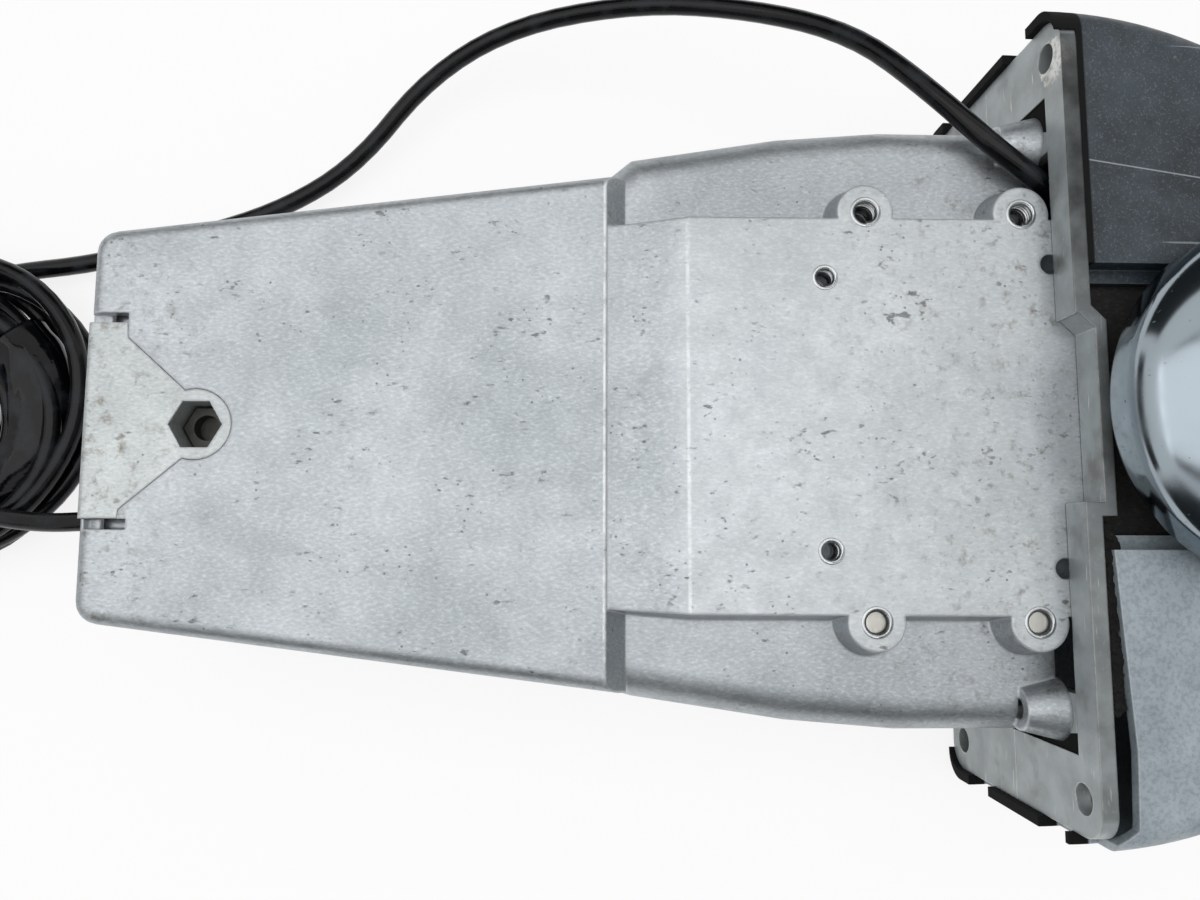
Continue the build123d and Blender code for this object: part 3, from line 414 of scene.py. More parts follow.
@dataclass(frozen=True)
class DieCastAluminium(Finish):
    """Die cast aluminium, left bare: satin blue grey with sparkle, pits, stains and painted highlights on
    its edges.
    """

    pale: str = "#C3C8CB"
    stain: str = "#6A604D"
    stained: float = 0.75
    pad_y: float = -28.8
    scuffed: Point = (-25.4, -29.0, -33.9)
    stain_fades: tuple[Flat, ...] = ((-75.0, -4.0), (-185.0, -216.0))
    crest_highlights: tuple[Point, ...] = ((-104.6, -26.0, 0.8), (-85.7, -28.5, 0.45))
    darkened_span: Flat = (4.2, 5.6)

    def pattern(self, add: Adder, place: Socket) -> tuple[Coats, Sockets]:
        """Clouded tone, sparkle, pits, brown stains near the deck, painted highlights on the pad, the edges
        and two crests, and near black under the covers.

        Args:
            add: adds a node to the material.
            place: Object coordinates.

        Returns:
            The coats, and what drives the shader's other inputs.
        """
        depth = add("SeparateXYZ", "Y", Vector=place)
        height = depth.node.outputs["Z"]
        # a soft cloud every 35 mm, as the die's release agent leaves
        cloud = patches(add, place, 35, 0.36, 0.64, Detail=5.0)
        # the cast skin glints in flecks, drawn at 0.6 mm so that they show, in streaks where it is rubbed
        across = add("Mapping", Vector=place, Rotation=(0, 0.6, 0), Scale=(1.0, 1.0, 0.45))
        fleck = add("TexNoise", Vector=across, Scale=1 / (0.6 * MM), Detail=5.0, Roughness=0.7)
        glint = add("MapRange", Value=fleck, From_Min=0.5, From_Max=0.75, To_Max=0.5)
        dull = add("MapRange", Value=fleck, From_Min=0.5, From_Max=0.3, To_Max=0.35)
        # a painted highlight makes the mounting pad brighter than the skin round it
        dull_y, bright_y = metres((self.pad_y + 1.3, self.pad_y))
        pad = add("MapRange", Value=depth, From_Min=dull_y, From_Max=bright_y, To_Max=0.35)
        # pores of about half a millimetre in loose groups, with a few dark scrapes among them
        cells = add("TexVoronoi", "Distance", Vector=place, Scale=1 / (2.4 * MM))
        pores = add("MapRange", Value=cells, From_Min=0.16, From_Max=0.06)
        scuff = near_spot(add, place, self.scuffed, reach=8.5, full=3.0)
        slant = add("Mapping", Vector=place, Rotation=(0, -0.5, 0), Scale=(1.0, 1.0, 0.5))
        scrape = add("TexNoise", Vector=slant, Scale=1 / (1.3 * MM), Detail=7.0)
        scrape = add("Math", operation="MULTIPLY_ADD", i0=scuff, i1=0.075, i2=scrape)
        scrape = add("MapRange", Value=scrape, From_Min=0.62, From_Max=0.7)
        group = patches(add, place, 8, 0.48, 0.62, Detail=4.0)
        group = add("Math", operation="MAXIMUM", i0=group, i1=scuff)
        marks = add("Math", operation="MAXIMUM", i0=pores, i1=scrape)
        marks = add("Math", operation="MULTIPLY", i0=marks, i1=group)
        marred = add("Math", operation="MULTIPLY", i0=marks, i1=0.7)
        # thin brown stains gather under the deck and at the bottom end
        upper, lower = (
            add("MapRange", Value=height, From_Min=dry * MM, From_Max=damp * MM)
            for dry, damp in self.stain_fades
        )
        damp = add("Math", operation="MAXIMUM", i0=upper, i1=lower)
        rust = patches(add, place, 3.2, 0.54, 0.72, most=self.stained, Detail=8.0, Roughness=0.7)
        damp = add("Math", operation="MULTIPLY", i0=damp, i1=rust)
        # a painted highlight runs along the edges, over about a millimetre
        edge, rounded = edge_wear_and_highlight(add, 1.0, most=0.7)
        coats = [
            (cloud, linear(self.pale)), (glint, linear("#E6EAEC")), (dull, linear("#7F858A")),
            (pad, linear("#D6DADB")), (marred, linear("#4C4A47")), (damp, linear(self.stain)),
            (edge, linear("#EDEFF1")),
        ]
        # painted highlights run along two crests across the front, in broken lines
        broken = patches(add, place, 5, 0.4, 0.56, Detail=6.0, Roughness=0.7)
        for crest, front, shine in self.crest_highlights:
            off = add("Math", operation="SUBTRACT", i0=height, i1=crest * MM)
            off = add("Math", operation="ABSOLUTE", i0=off)
            line = add("MapRange", Value=off, From_Min=0.55 * MM, From_Max=0.2 * MM, To_Max=shine)
            behind, before = metres((front + 0.4, front))
            ahead = add("MapRange", Value=depth, From_Min=behind, From_Max=before)
            for share in (broken, ahead):
                line = add("Math", operation="MULTIPLY", i0=line, i1=share)
            coats.append((line, linear("#F4F6F7")))
        # above a given height, where the covers hide it, the casting turns near black with brown specks
        bare, blackened = metres(self.darkened_span)
        darkened = add("MapRange", Value=height, From_Min=bare, From_Max=blackened, To_Max=0.97)
        crumb = add("MapRange", Value=fleck, From_Min=0.5, From_Max=0.7)
        under_cover_colour = add("Mix", 2, data_type="RGBA", i0=crumb, i6=linear("#050403"), i7=linear("#2E241A"))
        coats.append((darkened, under_cover_colour))
        metal = add("MapRange", Value=darkened, To_Min=self.metallic, To_Max=0.0)
        rough = patches(add, place, 7, 0.3, 0.7, self.roughness - 0.06, self.roughness + 0.08, Detail=4.0)
        rough = add("Math", operation="MAXIMUM", i0=rough, i1=darkened)
        fine = add("Math", operation="SUBTRACT", i0=fleck, i1=marks)
        bump = add("Bump", Height=fine, Normal=rounded, Distance=0.035 * MM)
        return coats, {"Metallic": metal, "Roughness": rough, "Normal": bump}


@dataclass(frozen=True)
class StovedEnamel(Finish):
    """Grey stoved enamel on cast metal: semi-gloss, chipped and rubbed bare along its edges."""

    bare: str = "#E2E2DC"
    flaked: Point = (-83.0, -33.0, 0.0)
    near_y: float = -37.1
    bow_shade: Flat = (-20.0, -40.0)
    corners: tuple[tuple[Flat, ...], ...] = (
        ((-76.3, -29.4), (-67.3, -29.4), (-76.3, -9.9)),
        ((76.3, -29.4), (71.2, -29.4), (76.3, -4.0)),
    )

    def corner(self, add: Adder, place: Socket, points: tuple[Flat, ...]) -> Socket:
        """Return how far inside a triangle a point lies, in metres.

        Args:
            add: adds a node to the material.
            place: Object coordinates.
            points: the triangle's corners, x and y.

        Returns:
            The socket, which is negative outside.
        """
        middle = Vector([sum(axis) / 3 for axis in zip(*points)])
        inside = None
        for start, end in zip(points, points[1:] + points[:1]):
            way = Vector(end) - Vector(start)
            out = Vector((-way.y, way.x)).normalized()
            if out.dot(middle - Vector(start)) < 0:
                out.negate()
            side = add("VectorMath", "Value", operation="DOT_PRODUCT", i0=place, i1=(*out, 0.0))
            side = add("Math", operation="SUBTRACT", i0=side, i1=out.dot(Vector(start)) * MM)
            if inside is not None:
                side = add("Math", operation="MINIMUM", i0=inside, i1=side)
            inside = side
        return inside

    def pattern(self, add: Adder, place: Socket) -> tuple[Coats, Sockets]:
        """Mottle, pale specks, bare ragged edges, scratches, brown stains, painted shade along the near
        edge and painted black openings in the inner corners.

        Args:
            add: adds a node to the material.
            place: Object coordinates.

        Returns:
            The coats, and what drives the shader's other inputs.
        """
        across = add("SeparateXYZ", "X", Vector=place)
        depth, height = across.node.outputs["Y"], across.node.outputs["Z"]
        mottle = patches(add, place, 8, 0.36, 0.64, Detail=7.0)
        specks = patches(add, place, 0.8, 0.62, 0.72, most=0.5)
        edge, rounded = edge_wear_and_highlight(add, 0.5)
        ragged = patches(add, place, 2.4, 0.36, 0.5, least=0.5, Detail=5.0)
        bare = add("Math", operation="MULTIPLY", i0=edge, i1=ragged)
        along = add("Mapping", Vector=place, Rotation=(0, 0, 0.2), Scale=(0.1, 1.0, 1.0))
        scratch = patches(add, along, 1.0, 0.68, 0.74, most=0.7)
        # the deck bolt's washer has flaked the enamel over about 9 mm
        washer = near_spot(add, place, self.flaked, reach=10.5, full=4.0)
        flakes = add("TexNoise", Vector=place, Scale=1 / (1.8 * MM), Detail=7.0, Roughness=0.75)
        flakes = add("Math", operation="MULTIPLY", i0=flakes, i1=washer)
        flakes = add("MapRange", Value=flakes, From_Min=0.4, From_Max=0.5, To_Max=0.85)
        for wear in (scratch, flakes):
            bare = add("Math", operation="MAXIMUM", i0=bare, i1=wear)
        stain = patches(add, place, 13, 0.58, 0.72, most=0.55, Detail=6.0)
        # painted shade darkens the near edge, most of all at its bow end
        unshaded, shaded = metres((self.near_y + 0.3, self.near_y))
        edge_shade = add("MapRange", Value=depth, From_Min=unshaded, From_Max=shaded)
        unshaded, shaded = metres(self.bow_shade)
        bow = add("MapRange", Value=across, From_Min=unshaded, From_Max=shaded, To_Min=0.5, To_Max=0.95)
        patchy = add("MapRange", Value=mottle, To_Min=1.0, To_Max=0.8)
        for share in (bow, patchy):
            edge_shade = add("Math", operation="MULTIPLY", i0=edge_shade, i1=share)
        # the lugs in the inner corners are painted near black, a painted shade that stands for the dark
        # openings there
        fore, aft = (self.corner(add, place, points) for points in self.corners)
        blackened = add("Math", operation="MAXIMUM", i0=fore, i1=aft)
        blackened = add("MapRange", Value=blackened, From_Max=0.15 * MM)
        raised = add("MapRange", Value=height, From_Min=0.1 * MM, From_Max=0.3 * MM)
        blackened = add("Math", operation="MULTIPLY", i0=blackened, i1=raised)
        coats = [
            (mottle, linear("#A8AFB1")), (specks, linear("#B4B7B6")), (bare, linear(self.bare)),
            (stain, linear("#58503F")), (edge_shade, linear("#191B1B")), (blackened, linear("#020303")),
        ]
        bare = add("Math", operation="SUBTRACT", i0=bare, i1=blackened)
        metal = add("MapRange", Value=bare, To_Min=self.metallic, To_Max=0.9)
        rough = add("MapRange", Value=blackened, To_Min=self.roughness, To_Max=1.0)
        fine = add("TexNoise", Vector=place, Scale=1 / (0.7 * MM), Detail=3.0)
        bump = add("Bump", Height=fine, Normal=rounded, Distance=0.03 * MM)
        return coats, {"Metallic": metal, "Roughness": rough, "Normal": bump}


@dataclass(frozen=True)
class SparkGrainedAbs(Finish):
    """ABS moulded in a spark eroded die: near black with a fine grain, dusty and scuffed."""

    haze: str = "#3A434A"
    hazed: float = 0.6
    edge_highlight: str = "#76828B"
    scratch_x: float = 0.0
    scratch_lean: float = 0.0
    shadow_gap_top: float = 0.0
    leather: float = 0.12

    def pattern(self, add: Adder, place: Socket) -> tuple[Coats, Sockets]:
        """Dusty haze, specks, long thin scratches, painted highlights along the edges, a painted shadow gap
        along the foot and the spark grain.

        Args:
            add: adds a node to the material.
            place: Object coordinates.

        Returns:
            The coats, and what drives the shader's other inputs.
        """
        cloud = patches(add, place, 11, 0.36, 0.66, most=self.hazed, Detail=9.0, Roughness=0.65)
        # the mould's leather-like mottle, drawn at 0.9 mm so that it shows
        hide = patches(add, place, 0.9, 0.55, 0.38, most=self.leather, Detail=3.0, Roughness=0.6)
        # dust lies in the grain as pale specks, drawn at half a millimetre so that they show
        specks = patches(add, place, 0.5, 0.55, 0.75, most=0.4, Detail=3.0, Roughness=0.7)
        # scratches are drawn about 0.2 mm wide so that they show
        along = add("Mapping", Vector=place, Rotation=(0, 1.45, 0), Scale=(1.0, 0.05, 0.02))
        scratch = patches(add, along, 1.1, 0.74, 0.77, most=0.4, Detail=1.0)
        # one long scratch crosses the near face of the bow side
        turned = add(
            "Mapping", Vector=place, Location=metres((self.scratch_x, 0, 0)),
            Rotation=(0, self.scratch_lean, 0),
        )
        turned = add("SeparateXYZ", "X", Vector=turned)
        off = add("Math", operation="ABSOLUTE", i0=turned)
        long = add("MapRange", Value=off, From_Min=0.22 * MM, From_Max=0.08 * MM, To_Max=0.5)
        for axis, none, full in (("Y", -30.0, -34.0), ("Z", 44.0, 38.0)):
            side = turned.node.outputs[axis]
            within = add("MapRange", Value=side, From_Min=none * MM, From_Max=full * MM)
            long = add("Math", operation="MULTIPLY", i0=long, i1=within)
        scratch = add("Math", operation="MAXIMUM", i0=scratch, i1=long)
        # painted highlights run along the edges
        edge, rounded = edge_wear_and_highlight(add, 0.6, full=0.9, most=0.6)
        # a painted shadow gap runs along the foot
        unshaded, shaded = metres((self.shadow_gap_top + 0.25, self.shadow_gap_top - 0.25))
        foot = add("SeparateXYZ", "Z", Vector=place)
        foot = add("MapRange", Value=foot, From_Min=unshaded, From_Max=shaded)
        coats = [
            (cloud, linear(self.haze)), (hide, linear("#1C2226")), (specks, linear("#8D979E")),
            (scratch, linear("#B9C0C5")), (edge, linear(self.edge_highlight)), (foot, linear("#030404")),
        ]
        rough = patches(add, place, 3, 0.3, 0.7, self.roughness - 0.08, self.roughness + 0.1, Detail=4.0)
        rough = add("Math", operation="MAXIMUM", i0=rough, i1=foot)
        # the spark grain is drawn at 0.6 mm, about twice the real one, so that it shows
        grain = add("TexNoise", Vector=place, Scale=1 / (0.6 * MM), Detail=3.0)
        bump = add("Bump", Height=grain, Normal=rounded, Distance=0.08 * MM)
        return coats, {"Roughness": rough, "Normal": bump}


@dataclass(frozen=True)
class ChromePlate(Finish):
    """Chrome plate over a turned zinc hub: mirror bright, with a salt haze and dull specks."""

    def pattern(self, add: Adder, place: Socket) -> tuple[Coats, Sockets]:
        """Haze and specks that dull the mirror, over a very slight waviness.

        Args:
            add: adds a node to the material.
            place: Object coordinates.

        Returns:
            The coats, and what drives the shader's other inputs.
        """
        haze = patches(add, place, 15, 0.45, 0.75, self.roughness, self.roughness + 0.14, Detail=6.0)
        specks = patches(add, place, 1.2, 0.69, 0.77, most=0.4)
        rough = add("Math", operation="ADD", i0=haze, i1=specks)
        wave = add("TexNoise", Vector=place, Scale=1 / (9 * MM), Detail=1.0)
        bump = add("Bump", Height=wave, Distance=0.02 * MM)
        return [(specks, linear("#6F6B64"))], {"Roughness": rough, "Normal": bump}


@dataclass(frozen=True)
class BrushedMetal(Finish):
    """Machined, brushed or plated metal, whose fine parallel lines stretch its highlights."""

    tarnish: str = "#6A6355"
    grain: Grain = Grain.ALONG_X

    def pattern(self, add: Adder, place: Socket) -> tuple[Coats, Sockets]:
        """Tool lines a third of a millimetre apart and a patchy tarnish.

        Args:
            add: adds a node to the material.
            place: Object coordinates.

        Returns:
            The coats, and what drives the shader's other inputs.
        """
        along = add("Mapping", Vector=place, Scale=self.grain.value)
        lines = patches(add, along, 0.35, 0.3, 0.7, Detail=3.0)
        patch = patches(add, place, 6, 0.5, 0.75, most=0.5, Detail=5.0)
        rough = add("MapRange", Value=lines, To_Min=self.roughness - 0.06, To_Max=self.roughness + 0.12)
        bump = add("Bump", Height=lines, Distance=0.01 * MM)
        return [(patch, linear(self.tarnish))], {"Roughness": rough, "Normal": bump}


@dataclass(frozen=True)
class PvcJacket(Finish):
    """Extruded PVC cable jacket: black and glossy, with dust, drag lines and finger marks."""

    SPECULAR = 0.26

    def pattern(self, add: Adder, place: Socket) -> tuple[Coats, Sockets]:
        """Dusty patches and a waviness that breaks up the highlight.

        Args:
            add: adds a node to the material.
            place: Object coordinates.

        Returns:
            The coats, and what drives the shader's other inputs.
        """
        dust = patches(add, place, 8, 0.5, 0.7, Detail=6.0)
        rough = add("MapRange", Value=dust, To_Min=self.roughness, To_Max=self.roughness + 0.2)
        wave = add("TexNoise", Vector=place, Scale=1 / (3 * MM))
        bump = add("Bump", Height=wave, Distance=0.07 * MM)
        return [(dust, linear("#1E2226"))], {"Roughness": rough, "Normal": bump}


@dataclass(frozen=True)
class AgedFoam(Finish):
    """Open cell polyether foam gone brittle: dead matt black with tan dust in its pores."""

    def pattern(self, add: Adder, place: Socket) -> tuple[Coats, Sockets]:
        """Pores under a millimetre across, with dust in the deepest.

        Args:
            add: adds a node to the material.
            place: Object coordinates.

        Returns:
            The coats, and what drives the shader's other inputs.
        """
        pores = add("TexNoise", Vector=place, Scale=1 / (0.8 * MM), Detail=5.0)
        dust = add("MapRange", Value=pores, From_Min=0.6, From_Max=0.8, To_Max=0.35)
        bump = add("Bump", Height=pores, Distance=0.5 * MM)
        return [(dust, linear("#4B4136"))], {"Normal": bump}


@dataclass(frozen=True)
class MouldedRubber(Finish):
    """Soft rubber moulded over the grip: matt black with a leathery cell, polished on its tops."""

    def pattern(self, add: Adder, place: Socket) -> tuple[Coats, Sockets]:
        """Leather-like cells a millimetre across.

        Args:
            add: adds a node to the material.
            place: Object coordinates.

        Returns:
            The coats, and what drives the shader's other inputs.
        """
        web = {"feature": "DISTANCE_TO_EDGE", "Scale": 1 / (1.1 * MM)}
        cells = add("TexVoronoi", "Distance", Vector=place, **web)
        tops = add("MapRange", Value=cells, From_Min=0.02, From_Max=0.2)
        tint = add("Math", operation="MULTIPLY", i0=tops, i1=0.35)
        rough = add("MapRange", Value=tops, To_Min=self.roughness + 0.15, To_Max=self.roughness - 0.05)
        bump = add("Bump", Height=tops, Distance=0.07 * MM)
        return [(tint, linear("#34373A"))], {"Roughness": rough, "Normal": bump}


CASTING = DieCastAluminium("die_cast_aluminium", "#A4AAAE", roughness=0.42, metallic=0.8, pale="#B6BBBF")
CLAMP_CASTING = DieCastAluminium(
    "die_cast_aluminium_clamp", "#B0B4B6", roughness=0.46, metallic=0.7, pale="#C3C8C8", stained=0.85
)
ENAMEL = StovedEnamel("stoved_grey_enamel", "#93999B", roughness=0.4, metallic=0.3)
COVER_ABS = SparkGrainedAbs(
    "spark_grained_abs", "#20282E", roughness=0.42, haze="#3F4C56", scratch_x=57.4, scratch_lean=-0.151,
    shadow_gap_top=5.2,
)
# the aft cover is the cover plastic made paler: its colours are painted sheen, the light that its face
# mirrors
PAINTED_SHEEN_ABS = SparkGrainedAbs(
    "spark_grained_abs_painted_sheen", "#89949B", roughness=0.36, haze="#A9B4BA", hazed=0.65, edge_highlight="#CBD4D9",
    shadow_gap_top=3.0, leather=0.22,
)
CHROME = ChromePlate("chrome_plate", "#98A2A9", roughness=0.13, metallic=1.0)
SATIN_STEEL = BrushedMetal("brushed_stainless_steel", "#BBBDBE", 0.27, 1.0, "#8F9192", Grain.ALONG_Z)
MACHINED_STEEL = BrushedMetal("machined_steel", "#9DA0A2", 0.34, 1.0)
TURNED_ALUMINIUM = BrushedMetal("turned_aluminium", "#CDD0D2", 0.3, 1.0, "#8B877C")
ZINC_STEEL = BrushedMetal("zinc_plated_steel", "#BDBCB6", 0.33, 1.0, "#807A6C")
OILED_STEEL = BrushedMetal("oil_blackened_steel", "#4A4A47", 0.42, 0.8, "#1E1C19", Grain.ALONG_Y)
TURNED_BRASS = BrushedMetal("turned_brass", "#C2A465", 0.3, 1.0, "#8E7440")
JACKET = PvcJacket("pvc_jacket", "#08090B", roughness=0.2)
FILM = PvcJacket("pvc_bundle_wrap", "#050608", roughness=0.1)
FOAM = AgedFoam("aged_open_cell_foam", "#0D0C0B", roughness=0.95)
RUBBER = MouldedRubber("overmoulded_rubber", "#121314", roughness=0.6)
# plain mouldings have an even satin skin with a faint grain, milky in acetal and near black otherwise
ACETAL = Finish("acetal_bush", "#DAD7CC", roughness=0.45)
NYLON = Finish("moulded_nylon", "#15171A", roughness=0.45)
SWITCH_ABS = Finish("moulded_switch_abs", "#24272A", roughness=0.38)


# ---------------------------------------------------------------- cords
@dataclass(frozen=True)
class Coil:
    """A hand wound coil that lies on its side: tied tight at one place, and loose opposite it."""

    STEP: ClassVar[float] = 30.0
    FIRST_CHANGE: ClassVar[float] = 220.0

    centre_x: float
    centre_z: float
    start: float
    end: float
    slots: tuple[Flat, ...]
    crossing: float = 40.0
    tied_at: float = -40.0
    loose: float = 4.5

    def points(self) -> list[Point]:
        """Return the coil's control points, 12 to a turn.

        Returns:
            Points in millimetres. Each turn keeps to its own slot, a radius and a depth, and
            changes to the next slot a little earlier than the turn before did. Each layer wanders
            in and out on its own way, by more the further it is from the tie.
        """
        way = math.copysign(1, self.end - self.start)
        lap = 360.0 - self.crossing
        made = []
        for step in range(round(abs(self.end - self.start) / self.STEP) + 1):
            turned = step * self.STEP
            slot = (turned - self.FIRST_CHANGE) / lap
            first = min(max(math.floor(slot), -1), len(self.slots) - 2)
            share = min(max((slot - first) * lap / self.crossing, 0.0), 1.0)
            leaves, joins = self.slots[max(first, 0)], self.slots[first + 1]
            radius, depth = [a + (b - a) * share for a, b in zip(leaves, joins)]
            angle = math.radians(self.start + way * turned)
            slack = self.loose * (1 - math.cos(angle - math.radians(self.tied_at))) / 2
            radius += slack * math.sin((LOW - depth) / 2.5 + 1.5 * angle)
            # a quadratic spline runs inside its control points by the cosine of half a step
            radius /= math.cos(math.radians(self.STEP / 2))
            x, z = self.centre_x + radius * math.cos(angle), self.centre_z + radius * math.sin(angle)
            made.append((x, depth, z))
        return made


@dataclass(frozen=True)
class Lead:
    """A free lead from where it leaves the control, through its coil, to its connector."""

    name: str
    route: tuple[Point, ...]
    coil: Coil
    tail: tuple[Point, ...]
    stands_for: tuple[str, ...]
    with_nodes: tuple[str, ...]
    length_m: float
    diameter: float = 5.2

    def build(self, nodes: Nodes) -> None:
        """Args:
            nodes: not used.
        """
        curve = bpy.data.curves.new(self.name, "CURVE")
        curve.dimensions = "3D"
        curve.bevel_depth = self.diameter / 2 * MM
        curve.bevel_resolution = 4
        curve.resolution_u = 5
        curve.use_fill_caps = True
        spline = curve.splines.new("NURBS")
        stops = [*self.route, *self.coil.points(), *self.tail]
        spline.points.add(len(stops) - 1)
        for point, stop in zip(spline.points, stops):
            point.co = (*metres(stop), 1.0)
        spline.order_u = 3
        spline.use_endpoint_u = True
        lead = bpy.data.objects.new(self.name, curve)
        bpy.context.scene.collection.objects.link(lead)
        JACKET.dress(lead)
        settle(lead, Body.HOUSING, "lead_jacket", *self.stands_for)


# the coil's three layers, by their depth, one lead's thickness apart
LOW, MIDDLE, TOP = 34.6, 29.4, 24.2
TRIM_LEAD = Lead(
    name="trim_cord",
    route=(
        (-53.7, -24.0, 5.4), (-62.0, -27.4, -9.4), (-81.3, -22.5, -25.0), (-102.5, -11.0, -40.0),
        (-116.0, 1.0, -64.0), (-122.8, 10.0, -94.0), (-120.6, 19.0, -130.0), (-107.8, 26.4, -156.0),
        (-83.4, 31.8, -176.6), (-69.8, 34.2, -199.0), (-61.0, 34.6, -225.0), (-52.6, 34.5, -252.0),
        (-49.3, 34.6, -279.0),
    ),
    coil=Coil(
        -6.8, -292.0, start=180.0, end=2070.0,
        slots=((40.6, LOW), (35.4, LOW), (35.4, MIDDLE), (35.4, TOP), (40.6, TOP), (40.6, MIDDLE)),
    ),
    tail=((6.0, 29.0, -333.2), (16.0, 29.2, -333.4), (26.0, 30.3, -332.0), (36.0, 31.2, -331.4)),
    stands_for=("trim_lead", "trim_coil", "trim_tail"),
    with_nodes=("trim_connector", "lead_gland", "coil_tie"),
    length_m=1.65,
)
SWITCH_LEAD = Lead(
    name="switch_cord",
    route=(
        (24.0, 13.0, -228.3), (24.2, 13.2, -239.0), (24.8, 15.0, -251.0), (23.6, 17.2, -264.0),
        (21.2, 18.6, -277.0), (20.2, 19.8, -290.0),
    ),
    coil=Coil(
        -6.8, -292.0, start=-30.0, end=-1890.0,
        slots=((29.6, TOP), (29.6, MIDDLE), (29.6, LOW), (24.4, LOW), (24.4, MIDDLE), (24.4, TOP)),
    ),
    tail=(
        (-9.3, 20.2, -320.0), (-19.3, 18.2, -318.7), (-29.1, 16.2, -314.3), (-36.4, 15.2, -307.7),
        (-40.5, 15.0, -299.5),
    ),
    stands_for=("switch_lead", "switch_coil", "switch_tail"),
    with_nodes=("switch_connector", "outlet_grommet"),
    length_m=1.0,
)


# ---------------------------------------------------------------- studio
@dataclass(frozen=True)
class Studio:
    """The camera, the plain pale table behind the control, and its soft light, placed in metres."""

    camera_at: Point = (0.0305, -0.2307, -0.1123)
    camera_up: Point = (-0.994, -0.106, -0.006)
    camera_back: Point = (0.106, -0.994, -0.032)
    lens: float = 27.08
    table_y: float = 0.0398
    table_half: float = 1.6
    fill: float = 0.55
    lamp_at: Point = (-0.05, -1.05, -0.16)
    lamp_watts: float = 7.2
    glow: float = 0.84
    lamp_size: Flat = (0.95, 1.5)
    flags: tuple[tuple[Point, ...], ...] = (
        ((-0.75, -1.3, -1.1), (0.75, -1.3, -1.1), (0.75, -1.3, 0.8), (-0.75, -1.3, 0.8)),
        ((-0.55, -0.02, -0.6), (-0.65, -0.02, 0.4), (-0.68, -0.50, 0.4), (-0.58, -0.50, -0.6)),
        ((0.55, -0.02, -0.7), (0.55, -0.02, 0.6), (0.65, -0.75, 0.6), (0.65, -0.75, -0.7)),
        ((-0.5, -0.02, 0.62), (0.6, -0.02, 0.62), (0.6, -0.55, 0.70), (-0.5, -0.55, 0.70)),
        ((-0.6, -0.02, -0.95), (0.6, -0.02, -0.95), (0.6, -0.35, -1.0), (-0.6, -0.35, -1.0)),
    )

    def place_camera(self) -> None:
        """Set the camera over the control, with the deck's up to its right."""
        data = bpy.data.cameras.new("camera")
        data.lens = self.lens
        data.sensor_width = 36.0
        data.clip_start = 0.01
        camera = bpy.data.objects.new("camera", data)
        back = Vector(self.camera_back).normalized()
        right = Vector(self.camera_up).cross(back).normalized()
        turn = Matrix((right, back.cross(right), back)).transposed()
        camera.matrix_world = Matrix.Translation(self.camera_at) @ turn.to_4x4()
        bpy.context.scene.collection.objects.link(camera)
        bpy.context.scene.camera = camera

    def place_table(self) -> None:
        """Lay the table behind the control, seen from its front only."""
        reach = self.table_half
        corners = ((-reach, -reach), (reach, -reach), (reach, reach), (-reach, reach))
        table = flat_cards("table", [[(x, self.table_y, z) for x, z in corners]])
        paper = bpy.data.materials.new("matt_white_card")
        paper.use_nodes = True
        tree = paper.node_tree
        shader = tree.nodes["Principled BSDF"]
        shader.inputs["Base Color"].default_value = linear("#F4F4F4")
        shader.inputs["Roughness"].default_value = 0.9
        shader.inputs["Specular IOR Level"].default_value = 0.1
        add = partial(add_node, tree)
        grain = add("TexNoise", Scale=900.0)
        tree.links.new(add("Bump", Height=grain, Distance=0.01 * MM), shader.inputs["Normal"])
        back = add("NewGeometry", "Backfacing")
        clear = add("BsdfTransparent")
        # seen or mirrored, the card is nearly white and keeps the control's shadow
        ray = add("LightPath", "Is Camera Ray")
        mirrored = ray.node.outputs["Is Glossy Ray"]
        ray = add("Math", operation="MAXIMUM", i0=ray, i1=mirrored)
        share = add("Math", operation="MULTIPLY", i0=ray, i1=self.glow)
        white = add("Emission", Strength=1.0)
        lit = add("MixShader", i0=share, i1=shader.outputs[0], i2=white)
        seen = add("MixShader", i0=back, i1=lit, i2=clear)
        tree.links.new(seen, tree.nodes["Material Output"].inputs[0])
        table.data.materials.append(paper)

    def light(self) -> None:
        """Light the scene softly: a white surround, and one large lamp before the control."""
        world = bpy.data.worlds.new("surround")
        world.use_nodes = True
        bpy.context.scene.world = world
        tree = world.node_tree
        add = partial(add_node, tree)
        seen = add("LightPath", "Is Camera Ray")
        path = seen.node
        for ray in ("Is Glossy Ray", "Is Transmission Ray"):
            seen = add("Math", operation="MAXIMUM", i0=seen, i1=path.outputs[ray])
        strength = add("MapRange", Value=seen, To_Min=self.fill, To_Max=1.0)
        tree.links.new(strength, tree.nodes["Background"].inputs["Strength"])
        tree.nodes["Background"].inputs["Color"].default_value = (1.0, 1.0, 1.0, 1.0)
        data = bpy.data.lights.new("window", "AREA")
        data.shape = "RECTANGLE"
        data.size, data.size_y = self.lamp_size
        data.energy = self.lamp_watts
        lamp = bpy.data.objects.new("window", data)
        away = Vector(self.lamp_at)
        lamp.matrix_world = Matrix.Translation(away) @ away.to_track_quat("Z", "Y").to_matrix().to_4x4()
        bpy.context.scene.collection.objects.link(lamp)

    def place_flags(self) -> None:
        """Stand dark cards round the table, which only mirrors see, to shape what shines."""
        flags = flat_cards("flags", self.flags)
        felt = bpy.data.materials.new("dark_felt")
        felt.use_nodes = True
        shader = felt.node_tree.nodes["Principled BSDF"]
        shader.inputs["Base Color"].default_value = linear("#23282B")
        shader.inputs["Roughness"].default_value = 0.95
        flags.data.materials.append(felt)
        flags.visible_camera = flags.visible_diffuse = flags.visible_shadow = False

    def build(self) -> None:
        """Set up the camera, table, light and view transform."""
        self.place_camera()
        self.place_table()
        self.place_flags()
        self.light()
        bpy.context.scene.view_settings.view_transform = "Standard"
        log.info("studio: camera, table and light")


